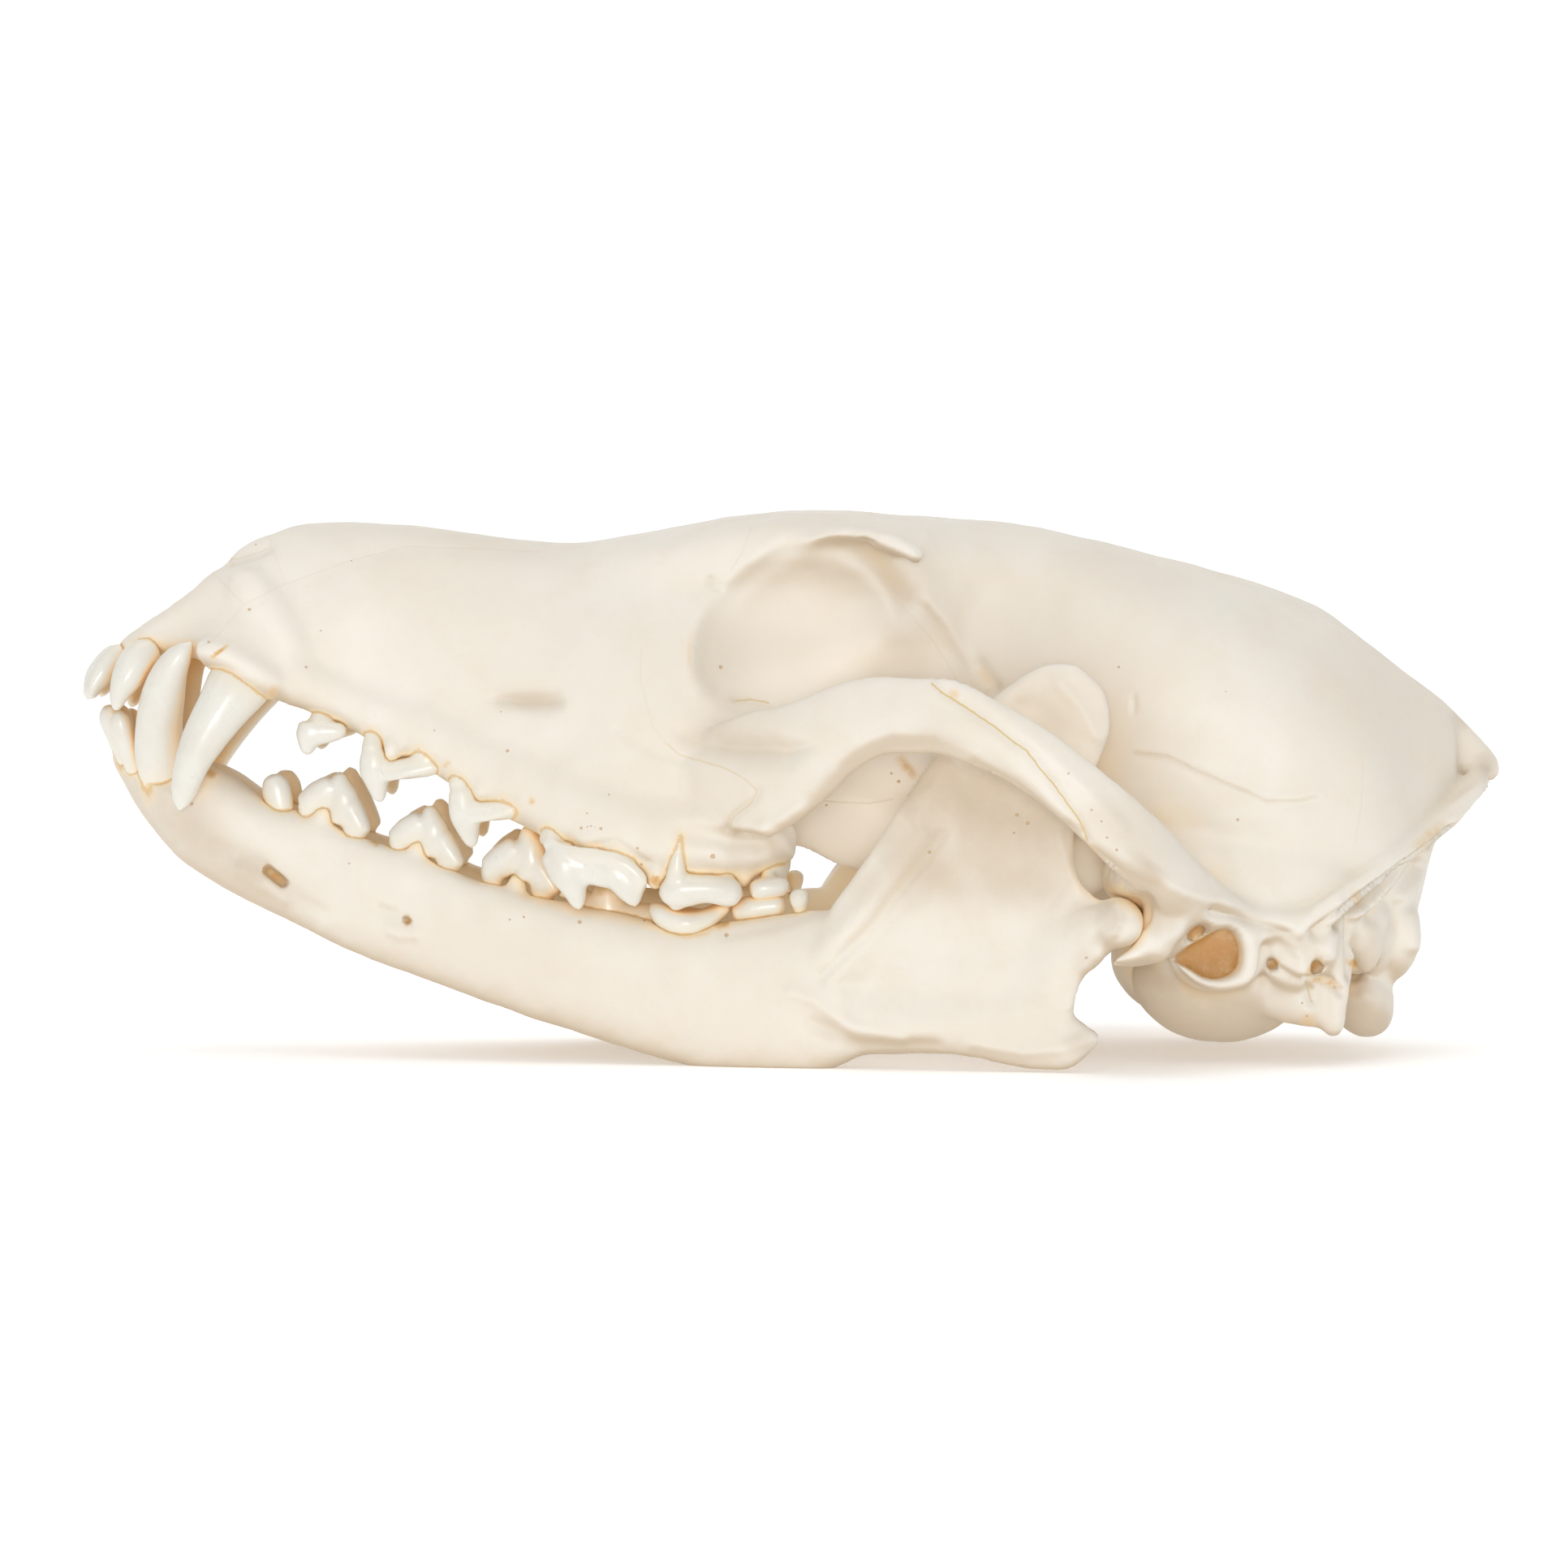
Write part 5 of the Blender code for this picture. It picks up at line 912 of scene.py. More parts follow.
def join(name, pieces):
    """One mesh object that holds every piece. The pieces are removed."""
    vertices, faces, first = [], [], 0
    for piece in pieces:
        points, polygons = take_mesh(piece)
        vertices.append(points)
        faces += [tuple(i + first for i in polygon) for polygon in polygons]
        first += len(points)
        bpy.data.objects.remove(piece)
    return make_object(name, np.concatenate(vertices), faces)


def apply_modifiers(obj):
    """Replaces the object's mesh by what its modifiers make."""
    graph = bpy.context.evaluated_depsgraph_get()
    mesh = bpy.data.meshes.new_from_object(obj.evaluated_get(graph))
    obj.modifiers.clear()
    obj.data = mesh


def skin(obj, voxel):
    """One even skin around the pieces that a mesh holds."""
    remesh = obj.modifiers.new("skin", "REMESH")
    remesh.mode = "VOXEL"
    remesh.voxel_size = voxel * MM
    apply_modifiers(obj)


def combine(obj, pieces, operation):
    """Joins the pieces to the object, or cuts them from it, and removes them."""
    group = bpy.data.collections.new("pieces")
    bpy.context.scene.collection.children.link(group)
    for piece in pieces:
        bpy.context.scene.collection.objects.unlink(piece)
        group.objects.link(piece)
    boolean = obj.modifiers.new("combine", "BOOLEAN")
    boolean.operation = operation
    boolean.operand_type = "COLLECTION"
    boolean.collection = group
    boolean.solver = "MANIFOLD"
    apply_modifiers(obj)
    for piece in list(group.objects):
        bpy.data.objects.remove(piece)
    bpy.data.collections.remove(group)


def edge_ends(mesh):
    """The two ends of each edge, as two arrays."""
    edges = np.empty(len(mesh.edges) * 2, np.int64)
    mesh.edges.foreach_get("vertices", edges)
    return edges.reshape(-1, 2).T


def spread(values, a, b, times):
    """Evens out values that belong to a mesh's vertices, along its edges (a, b)."""
    total = len(values)
    neighbours = np.bincount(a, minlength=total) + np.bincount(b, minlength=total)
    neighbours = np.maximum(neighbours, 1)
    values = values.reshape(total, -1)
    for _ in range(times):
        mean = np.empty_like(values)
        for column in range(values.shape[1]):
            mean[:, column] = (
                np.bincount(a, values[b, column], total) + np.bincount(b, values[a, column], total)
            ) / neighbours
        values = values + 0.5 * (mean - values)
    return values


def relax(obj, times):
    """Evens out the skin."""
    mesh = obj.data
    points = np.empty(len(mesh.vertices) * 3)
    mesh.vertices.foreach_get("co", points)
    points = spread(points.reshape(-1, 3), *edge_ends(mesh), times)
    mesh.vertices.foreach_set("co", points.ravel())
    mesh.update()


def drop_scraps(obj):
    """Keeps only the largest connected surface of the mesh."""
    mesh = obj.data
    a, b = edge_ends(mesh)
    label = np.arange(len(mesh.vertices))
    while True:
        low = np.minimum(label[a], label[b])
        after = label.copy()
        np.minimum.at(after, a, low)
        np.minimum.at(after, b, low)
        after = after[after]
        if (after == label).all():
            break
        label = after
    names, counts = np.unique(label, return_counts=True)
    if len(names) == 1:
        return
    scraps = np.flatnonzero(label != names[counts.argmax()])
    shape = bmesh.new()
    shape.from_mesh(mesh)
    shape.verts.ensure_lookup_table()
    bmesh.ops.delete(shape, geom=[shape.verts[i] for i in scraps], context="VERTS")
    shape.to_mesh(mesh)
    shape.free()


# What the camera sees, and carving

def camera_axes():
    """The camera's place and its right, up and forward directions."""
    azimuth, elevation = math.radians(CAMERA_AZIMUTH), math.radians(CAMERA_ELEVATION)
    right = np.array([math.cos(azimuth), math.sin(azimuth), 0.0])
    forward = np.array([
        -math.sin(azimuth) * math.cos(elevation),
        math.cos(azimuth) * math.cos(elevation),
        -math.sin(elevation),
    ])
    up = np.cross(right, forward)
    place = np.array(CAMERA_AIM) - forward * CAMERA_DISTANCE
    return place, right, up, forward


def smooth_step(value, low, high):
    """0 at low and below, 1 at high and above, and a smooth rise between them."""
    t = np.clip((np.asarray(value, float) - low) / (high - low), 0, 1)
    return t * t * (3 - 2 * t)


def ripple(points, wavelength, seed):
    """Smooth uneven values around zero, at places in millimetres."""
    waves = 20
    draw = np.random.default_rng(seed)
    direction = draw.normal(size=(waves, 3))
    direction /= np.linalg.norm(direction, axis=1)[:, None]
    pace = 2 * math.pi / (wavelength * draw.uniform(0.7, 1.5, waves))
    phase = draw.uniform(0, 2 * math.pi, waves)
    return np.sin(points @ (direction * pace[:, None]).T + phase).sum(axis=1) / math.sqrt(waves)


def at_px(across, down, out):
    """The place on the near side, out from the plane of symmetry, that the camera sees at a pixel."""
    place, right, up, forward = camera_axes()
    scale = MM_PER_PX / CAMERA_DISTANCE
    sight = forward + right * (across - PHOTO_CENTRE) * scale + up * (PHOTO_CENTRE - down) * scale
    x, y, z = place + sight * (-out - place[1]) / sight[1]
    return x, out, z


def px_bar(name, rows, side, count=20, ends=0.1):
    """A bar through pixels.

    Rows: across, down, out, and half sizes in the picture's plane and towards the cheek."""
    path = [(*at_px(*row[:3]), row[3], row[4]) for row in rows]
    return bar(name, path, count, side, up=(0, 1, 0), ends=ends)


def px_plate(name, outline, levels, side):
    """A body from an outline of pixels, drawn at several levels. Levels: out, and its share of shrinking."""
    outline = np.asarray(outline, float)
    centre = outline.mean(axis=0)
    rings = []
    for out, shrink in levels:
        ring = centre + (outline - centre) * (1 - shrink)
        rings.append([np.array(at_px(*pixel, out)) * (1, side, 1) for pixel in ring])
    return loft(name, rings)


class Carving:
    """The vertices of one piece, as places in the photograph, and what is carved into them.

    The far side is carved as the mirror image of the near one. Amounts are in millimetres along the
    surface's normals, above zero for what stands out."""

    def __init__(self, obj):
        self.obj = obj
        self.a, self.b = edge_ends(obj.data)
        self.read()

    def read(self):
        mesh = self.obj.data
        points = np.empty(len(mesh.vertices) * 3)
        mesh.vertices.foreach_get("co", points)
        normals = np.empty(len(mesh.vertices) * 3)
        mesh.vertex_normals.foreach_get("vector", normals)
        self.points = points.reshape(-1, 3) / MM
        self.normals = normals.reshape(-1, 3)
        place, right, up, forward = camera_axes()
        side = np.where(self.points[:, 1] > 0, -1.0, 1.0)
        near = self.points.copy()
        near[:, 1] *= side
        sight = near - place
        depth = sight @ forward
        scale = CAMERA_DISTANCE / depth / MM_PER_PX
        self.px = np.column_stack([
            PHOTO_CENTRE + sight @ right * scale,
            PHOTO_CENTRE - sight @ up * scale,
        ])
        normal = self.normals.copy()
        normal[:, 1] *= side
        self.facing = -np.einsum("ij,ij->i", normal, sight / np.linalg.norm(sight, axis=1)[:, None])
        self.out = np.abs(self.points[:, 1])

    def write(self):
        self.obj.data.vertices.foreach_set("co", (self.points * MM).ravel())
        self.obj.data.update()
        self.read()

    def near(self, line, reach, outs=None, closed=False):
        """The vertices around a line of pixels.

        Gives their numbers, their way from the line in millimetres, how much of the line they take (none
        where they face away or lie outside the given outs), and their share of the way along it."""
        line = np.asarray(line, float)
        edge = reach / MM_PER_PX
        around = (self.px > line.min(axis=0) - edge) & (self.px < line.max(axis=0) + edge)
        index = np.flatnonzero(around.all(axis=1))
        px = self.px[index]
        if closed:
            line = np.vstack([line, line[:1]])
        best = np.full(len(px), 1e9)
        way = np.zeros((len(px), 2))
        share = np.zeros(len(px))
        lengths = np.linalg.norm(np.diff(line, axis=0), axis=1)
        passed = 0.0
        for start, end, length in zip(line[:-1], line[1:], lengths):
            step = end - start
            t = np.clip((px - start) @ step / (step @ step), 0, 1)
            gap = px - start - t[:, None] * step
            distance = np.einsum("ij,ij->i", gap, gap)
            nearer = distance < best
            best[nearer] = distance[nearer]
            way[nearer] = gap[nearer]
            share[nearer] = (passed + t[nearer] * length) / lengths.sum()
            passed += length
        weight = smooth_step(self.facing[index], 0.0, 0.25)
        if outs:
            out, (low, high) = self.out[index], outs
            weight = weight * smooth_step(out, low - 1.0, low) * smooth_step(-out, -high - 1.0, -high)
        return index, way * MM_PER_PX, weight, share

    def inside(self, outline, outs=None):
        """The vertices within an outline of pixels: their numbers, distances from it and weights."""
        index, way, weight, _ = self.near(outline, 0.0, outs, closed=True)
        across, down = self.px[index].T
        crossings = np.zeros(len(index), int)
        for k, (x1, y1) in enumerate(outline):
            x0, y0 = outline[k - 1]
            if y0 != y1:
                between = (y0 > down) != (y1 > down)
                crossings += between & (across < x0 + (down - y0) / (y1 - y0) * (x1 - x0))
        return index, np.linalg.norm(way, axis=1) * (crossings % 2), weight

    def line_values(self, lines, tapered=False):
        """The sum of soft lines: pixels, half width, height, outs. Tapered ones fade towards their ends."""
        values = np.zeros(len(self.px))
        for line, width, height, outs in lines:
            index, way, weight, share = self.near(line, 2.5 * width, outs)
            if tapered:
                weight = weight * np.sqrt(4 * share * (1 - share))
            values[index] += height * weight * np.exp(-np.einsum("ij,ij->i", way, way) / width**2)
        return values

    def carve(self, lines, hollows):
        amount = self.line_values(lines)
        for outline, height, edge, outs in hollows:
            index, depth, weight = self.inside(outline, outs)
            amount[index] += height * weight * smooth_step(depth, 0, edge)
        self.points = self.points + self.normals * amount[:, None]
        self.write()

    def roughen(self, seed):
        """Gives the surface the faint unevenness of real bone."""
        amount = sum(
            size * ripple(self.points, wavelength, seed + k)
            for k, (wavelength, size) in enumerate(((13.0, 0.07), (5.0, 0.035), (2.0, 0.014)))
        )
        self.points = self.points + self.normals * amount[:, None]
        self.write()

    def mark_lines(self, name, lines, far=1.0):
        """Stores each vertex's way to the nearest line, in millimetres, and that line's own number.

        Lines: pixels, their number, outs. The way is (across, down, far off). Its third part stays 0
        around the line and rises away from it, so that no false line appears between two lines."""
        way = np.tile((far, far, 5.0), (len(self.px), 1))
        best = np.full(len(self.px), far)
        number = np.zeros(len(self.px))
        for line, own, outs in lines:
            index, gap, weight, _ = self.near(line, far, outs)
            distance = np.linalg.norm(gap, axis=1)
            nearer = (distance < best[index]) & (weight > 0.3)
            index, gap, distance = index[nearer], gap[nearer], distance[nearer]
            best[index] = distance
            number[index] = own
            way[index] = np.column_stack([gap, 5.0 * smooth_step(distance, far * 0.55, far)])
        made = self.obj.data.attributes.new(name, "FLOAT_VECTOR", "POINT")
        made.data.foreach_set("vector", way.astype(np.float32).ravel())
        set_attribute(self.obj, name + "_number", number)


# Materials

def feed(tree, socket, value):
    """Links another node's output to the socket, or sets its value."""
    if isinstance(value, bpy.types.NodeSocket):
        tree.links.new(value, socket)
    else:
        socket.default_value = value


def noise(tree, place, scale, detail, roughness=0.5, output="Fac"):
    made = tree.nodes.new("ShaderNodeTexNoise")
    for key, value in (("Vector", place), ("Scale", scale), ("Detail", detail), ("Roughness", roughness)):
        feed(tree, made.inputs[key], value)
    return made.outputs[output]


def ramp(tree, value, low, high, to_low=0.0, to_high=1.0):
    """to_low where the value is low, to_high where it is high, and a smooth change between them."""
    made = tree.nodes.new("ShaderNodeMapRange")
    made.interpolation_type = "SMOOTHSTEP"
    for key, given in (
        ("Value", value), ("From Min", low), ("From Max", high), ("To Min", to_low), ("To Max", to_high),
    ):
        feed(tree, made.inputs[key], given)
    return made.outputs["Result"]


def blend(tree, share, below, above):
    """below where share is 0 and above where it is 1. Colours are tuples or outputs."""
    made = tree.nodes.new("ShaderNodeMix")
    made.data_type = "RGBA"
    colours = [socket for socket in made.inputs if socket.type == "RGBA"]
    for socket, value in zip((made.inputs[0], *colours), (share, below, above)):
        feed(tree, socket, value)
    return next(socket for socket in made.outputs if socket.type == "RGBA")


def layered(tree, colour, layers):
    """The colour with every layer blended over it in turn. Layers: share, colour."""
    for share, tint in layers:
        colour = blend(tree, share, colour, tint)
    return colour


def calculate(tree, operation, *values, kind="Math"):
    """What a math node makes of the values, or a vector math node where kind is "VectorMath"."""
    made = tree.nodes.new("ShaderNode" + kind)
    made.operation = operation
    for socket, value in zip(made.inputs, values):
        feed(tree, socket, value)
    return made.outputs["Value" if kind == "Math" or operation == "LENGTH" else "Vector"]


def attribute(tree, name, output="Fac"):
    made = tree.nodes.new("ShaderNodeAttribute")
    made.attribute_name = name
    return made.outputs[output]


def line_mask(tree, name, place, wobble, inner, outer):
    """1 on the lines that mark_lines stored and 0 beside them, with a little unevenness."""
    jitter = noise(tree, place, 1400.0, 3.0, output="Color")
    jitter = calculate(tree, "SUBTRACT", jitter, (0.5, 0.5, 0.5), kind="VectorMath")
    stored = attribute(tree, name, "Vector")
    way = calculate(tree, "MULTIPLY_ADD", jitter, (wobble, wobble, 0.0), stored, kind="VectorMath")
    return ramp(tree, calculate(tree, "LENGTH", way, kind="VectorMath"), inner, outer, 1.0, 0.0)


def new_material(name):
    """A new material, its node tree, its shader, and the place of each point."""
    material = bpy.data.materials.new(name)
    material.use_nodes = True
    tree = material.node_tree
    place = tree.nodes.new("ShaderNodeTexCoord").outputs["Object"]
    return material, tree, tree.nodes["Principled BSDF"], place


def set_bump(tree, shader, height, strength):
    """Bumps of the given height, in millimetres."""
    bump = tree.nodes.new("ShaderNodeBump")
    feed(tree, bump.inputs["Height"], height)
    bump.inputs["Strength"].default_value = strength
    bump.inputs["Distance"].default_value = MM
    tree.links.new(bump.outputs["Normal"], shader.inputs["Normal"])


def bone_material():
    """Cleaned, slightly ivory bone: a painted warm glow and shade where sheltered, painted orange-brown shade
    in deep gaps, with seams and pores.
    """
    material, tree, shader, place = new_material("bone")
    broad = noise(tree, place, 38.0, 3.0)
    cloudy = noise(tree, place, 170.0, 5.0, 0.6)
    fine = noise(tree, place, 1100.0, 5.0, 0.65)
    hollow, occlusion_shade, tan_shade_light = (attribute(tree, name) for name in ("hollow", "occlusion_shade", "tan_shade_light"))
    uneven_tan_shade = calculate(
        tree, "MULTIPLY", ramp(tree, tan_shade_light, 0.0, 1.0), ramp(tree, cloudy, 0.25, 0.6, 0.7, 1.0))
    amber_shade = calculate(
        tree, "MULTIPLY", attribute(tree, "amber_shade"), ramp(tree, fine, 0.3, 0.6, 0.65, 1.0))
    # Painted shade where the bone meets a tooth: a warm band and an orange-brown line.
    gum_shade = calculate(tree, "ADD", attribute(tree, "gap"), ramp(tree, fine, 0.3, 0.7, -0.12, 0.12))
    gum_line_shade = ramp(tree, gum_shade, 0.04, 0.24, 0.75, 0.0)
    seam_tone = attribute(tree, "seam_number")
    seam = calculate(tree, "MULTIPLY", line_mask(tree, "seam", place, 0.22, 0.03, 0.12),
                     calculate(tree, "MULTIPLY_ADD", seam_tone, 0.8, 0.12))
    pore_size = calculate(tree, "MAXIMUM", attribute(tree, "pore_number"), 0.05)
    pore_size = calculate(tree, "MULTIPLY", pore_size, ramp(tree, fine, 0.3, 0.7, 0.8, 1.2))
    pore_way = calculate(tree, "LENGTH", attribute(tree, "pore", "Vector"), kind="VectorMath")
    pore = ramp(tree, calculate(tree, "DIVIDE", pore_way, pore_size), 0.75, 1.25, 1.0, 0.0)
    colour = layered(tree, (0.785, 0.720, 0.618, 1), (
        (ramp(tree, broad, 0.35, 0.68), (0.815, 0.768, 0.682, 1)),
        (ramp(tree, cloudy, 0.42, 0.75, 0.0, 0.5), (0.775, 0.690, 0.575, 1)),
        (ramp(tree, fine, 0.55, 0.80, 0.0, 0.30), (0.75, 0.645, 0.50, 1)),
        # Raised places are paler than the rest, a painted highlight, and hollows and what faces down are
        # browner, painted shade.
        (ramp(tree, hollow, -0.9, -0.15, 0.6, 0.0), (0.85, 0.81, 0.74, 1)),
        (ramp(tree, hollow, 0.1, 1.0, 0.0, 0.7), (0.80, 0.66, 0.48, 1)),
        (ramp(tree, attribute(tree, "underside_shade"), 0.12, 0.85, 0.0, 0.95), (0.57, 0.46, 0.33, 1)),
        # Sheltered places get a painted peach glow of bounced light, and closed ones painted orange shade.
        # Tan below zero is painted light, pale instead.
        (ramp(tree, occlusion_shade, 0.16, 0.58, 0.0, 0.92), (0.97, 0.80, 0.56, 1)),
        (ramp(tree, tan_shade_light, -1.0, 0.0, 1.0, 0.0), (0.985, 0.915, 0.81, 1)),
        # Tan above zero is mostly painted shade.
        (uneven_tan_shade, (0.60, 0.50, 0.38, 1)),
        (ramp(tree, occlusion_shade, 0.62, 0.92, 0.0, 0.9), (0.94, 0.56, 0.22, 1)),
        # Amber strokes, mostly painted shade in gaps, pits and openings.
        (ramp(tree, amber_shade, 0.0, 0.6), blend(tree, amber_shade, (0.82, 0.63, 0.36, 1), (0.60, 0.30, 0.07, 1))),
        # Painted shade beside the teeth.
        (ramp(tree, gum_shade, 0.1, 0.8, 0.5, 0.0), (0.86, 0.70, 0.45, 1)),
        (gum_line_shade, (0.74, 0.48, 0.19, 1)),
        (seam, blend(tree, seam_tone, (0.68, 0.57, 0.44, 1), (0.76, 0.54, 0.18, 1))),
        # Pores are painted dark, which stands in for the shade inside them.
        (calculate(tree, "MULTIPLY", pore, 0.75), (0.60, 0.36, 0.15, 1)),
    ))
    tree.links.new(colour, shader.inputs["Base Color"])
    tree.links.new(ramp(tree, cloudy, 0.2, 0.8, 0.42, 0.58), shader.inputs["Roughness"])
    height = calculate(tree, "MULTIPLY_ADD", fine, 0.02, calculate(tree, "MULTIPLY", cloudy, 0.05))
    for mask, rise in ((seam, -0.05), (pore, -0.08), (gum_line_shade, -0.06)):
        height = calculate(tree, "MULTIPLY_ADD", mask, rise, height)
    set_bump(tree, shader, height, 0.9)
    shader.inputs["IOR"].default_value = 1.5
    shader.inputs["Subsurface Weight"].default_value = 0.12
    shader.inputs["Subsurface Radius"].default_value = (1.0, 0.55, 0.3)
    shader.inputs["Subsurface Scale"].default_value = 1.2 * MM
    return material


def enamel_material():
    """Glossy white enamel, yellower towards the root, with a painted warm glow and orange shade where closed
    in, and painted orange-brown shade in shaded notches and where it meets bone.
    """
    material, tree, shader, place = new_material("enamel")
    cloudy = noise(tree, place, 260.0, 4.0, 0.6)
    fine = noise(tree, place, 1300.0, 4.0, 0.6)
    gap, occlusion_shade = attribute(tree, "gap"), attribute(tree, "occlusion_shade")
    edge = calculate(tree, "ADD", gap, ramp(tree, fine, 0.3, 0.7, -0.08, 0.08))
    colour = layered(tree, (0.77, 0.745, 0.675, 1), (
        (ramp(tree, cloudy, 0.4, 0.75), (0.735, 0.695, 0.61, 1)),
        (ramp(tree, gap, 0.3, 2.4, 0.45, 0.0), (0.82, 0.75, 0.60, 1)),
        # Painted light and shade: a peach glow of bounced light where sheltered, orange shade where closed
        # in, then orange-brown shade in shaded notches.
        (ramp(tree, occlusion_shade, 0.26, 0.62, 0.0, 0.85), (0.93, 0.74, 0.48, 1)),
        (ramp(tree, occlusion_shade, 0.55, 0.90, 0.0, 0.9), (0.86, 0.50, 0.18, 1)),
        (attribute(tree, "amber_shade"), (0.62, 0.42, 0.19, 1)),
        # Painted shade: an orange-brown line where the tooth meets bone.
        (ramp(tree, edge, 0.04, 0.18, 0.75, 0.0), (0.74, 0.48, 0.19, 1)),
    ))
    tree.links.new(colour, shader.inputs["Base Color"])
    tree.links.new(ramp(tree, cloudy, 0.2, 0.8, 0.25, 0.36), shader.inputs["Roughness"])
    set_bump(tree, shader, calculate(tree, "MULTIPLY", cloudy, 0.03), 0.6)
    shader.inputs["IOR"].default_value = 1.6
    shader.inputs["Coat Weight"].default_value = 0.15
    shader.inputs["Coat Roughness"].default_value = 0.12
    return material


def set_attribute(obj, name, values):
    made = obj.data.attributes.new(name, "FLOAT", "POINT")
    made.data.foreach_set("value", np.asarray(values, np.float32))


# The cranium

def cranium_side(side):
    """The bodies that only one side of the cranium has, to be joined to its big forms."""
    x, out, z = JAW_JOINT
    return [
        bar("arch", ARCH, 60, side, 24),
        bar("tooth_bank", TOOTH_BANK, 60, side, 20, ends=0.05),
        ellipsoid("canine_root", (-53.6, 8.3, 44.4), (3.4, 2.9, 7.4), side, tilt=-32),
        bar("brow", BROW, 30, side, 16, ends=0.08),
        bar("nuchal_crest", NUCHAL_CREST, 50, side, 16, up=(0.75, 0.35, 0.2), ends=0.08),
        ellipsoid("mastoid", (51.2, 19.8, 12.0), (4.0, 3.2, 4.0), side),
        bar("paroccipital", PAROCCIPITAL, 20, side, 16, up=(1, 0, 0), ends=0.12),
        ellipsoid("root_fill", (44.4, 18.6, 18.8), (12.4, 3.9, 7.2), side),
        ellipsoid("behind_paroccipital", (57.8, 14.2, 13.4), (2.3, 2.4, 4.6), side),
        bar("behind_capsule", BEHIND_CAPSULE, 12, side, 16, ends=0.2),
        ellipsoid("condyle", (59.0, 7.6, 6.3), (3.4, 4.8, 4.6), side, tilt=-25),
        ellipsoid("above_condyle", (61.2, 9.0, 13.0), (4.0, 5.0, 5.4), side),
        bar("pterygoid", PTERYGOID, 30, side, 16, ends=0.1),
        bar("joint_roof", (
            (x + 4.0, out + 6.6, z + 4.8, 3.4, 2.6), (x + 3.8, out, z + 4.4, 4.2, 3.2),
            (x + 3.6, out - 9.0, z + 4.0, 5.0, 3.6)), 16, side, 24, ends=0.1),
        bar("joint_stop", (
            (x + 4.2, out + 4.6, z - 0.6, 1.5, 3.0), (x + 3.8, out, z - 1.2, 1.9, 3.2),
            (x + 4.6, out - 7.0, z - 0.8, 1.8, 3.2)), 16, side, 18, ends=0.16),
        px_bar("hook_edge", HOOK_EDGE_PX, side, 20, ends=0.1),
        px_bar("temporal_edge", TEMPORAL_EDGE_PX, side, 30, ends=0.12),
        px_bar("canine_collar", CANINE_COLLAR_PX, side, 30, ends=0.12),
        bar("nasal_tip", NASAL_TIP, 14, side, 14, ends=0.15),
        ellipsoid("bulla", (43.8, 13.0, 8.7), (9.4, 6.6, 6.8), side, tilt=4, yaw=-14, size=40),
        bar("ear_tube", EAR_TUBE, 12, side, 24, ends=0.05),
        px_bar("ear_ring", [(across, down, EAR_RING_OUT, half, 1.2) for across, down, half in EAR_RING_PX],
               side, 50, ends=0.01),
        px_plate("joint_hook", JOINT_HOOK_PX, ((18.0, 0.12), (20.0, 0.0), (29.0, 0.0), (31.0, 0.14)), side),
        *bone_peaks("upper", side),
    ]


def orbit(side):
    """The eye socket and the hollow behind it, cut from the big forms before the arch is joined."""
    return [
        ellipsoid("orbit", (0.7, 18.5, 44.0), (12.0, 8.3, 10.2), side, size=40),
        ellipsoid("behind_orbit", (12.0, 24.0, 34.0), (15.0, 14.6, 15.0), side, size=40),
    ]


def cranium_holes(side):
    """The openings on one side of the cranium."""
    x, out, z = JAW_JOINT
    room = CONDYLE_RADIUS + 0.5
    holes = [
        bar(name, [(x, out + shift, z, radius, radius) for shift in shifts], 8, side, 32, ends=0.02)
        for name, radius, shifts in (
            ("joint_mouth", room, (12, 3.2)),
            ("joint_socket", room - 0.4, (4, -7.0)),
        )
    ]
    return holes + openings(CRANIUM_OPENINGS_PX, side)


def openings(table, side):
    """The bodies that cut a table's openings, narrower towards the inside."""
    made = []
    for outline, (outer, inner), shrink in table:
        levels = ((outer, 0.0), ((outer + inner) / 2, shrink / 3), (inner, shrink))
        made.append(px_plate("opening", outline, levels, side))
    return made


def cranium_body():
    """The whole cranium without its teeth, as one skin."""
    body = join("cranium", [
        section_body("muzzle", MUZZLE, 90),
        section_body("forehead", FOREHEAD, 60),
        section_body("braincase", BRAINCASE, 90),
    ])
    skin(body, COARSE_VOXEL)
    relax(body, 6)
    combine(body, [piece for side in SIDES.values() for piece in orbit(side)], "DIFFERENCE")
    skin(body, COARSE_VOXEL)
    relax(body, 5)
    pieces = [body, bar("inion", INION, 20, ends=0.1)]
    for side in SIDES.values():
        pieces += cranium_side(side)
    body = join("cranium", pieces)
    skin(body, FINE_VOXEL)
    relax(body, 9)
    holes = [
        bar("nose_hole", NOSE_HOLE, 26, 1, 32, ends=0.08),
        bar("throat", THROAT, 20, 1, 28, ends=0.06),
        bar("brain_hole", BRAIN_HOLE, 24, 1, 32, ends=0.06),
    ]
    for side in SIDES.values():
        holes += cranium_holes(side)
    combine(body, holes, "DIFFERENCE")
    skin(body, FINE_VOXEL)
    relax(body, 3)
    drop_scraps(body)
    carving = Carving(body)
    carving.carve(CRANIUM_LINES_PX, CRANIUM_HOLLOWS_PX)
    carving.roughen(seed=5)
    mark_details(carving, CRANIUM_SEAMS_PX, CRANIUM_PORES_PX, CRANIUM_AMBER_SHADE_PX, CRANIUM_TAN_SHADE_LIGHT_PX)
    return body


# Teeth

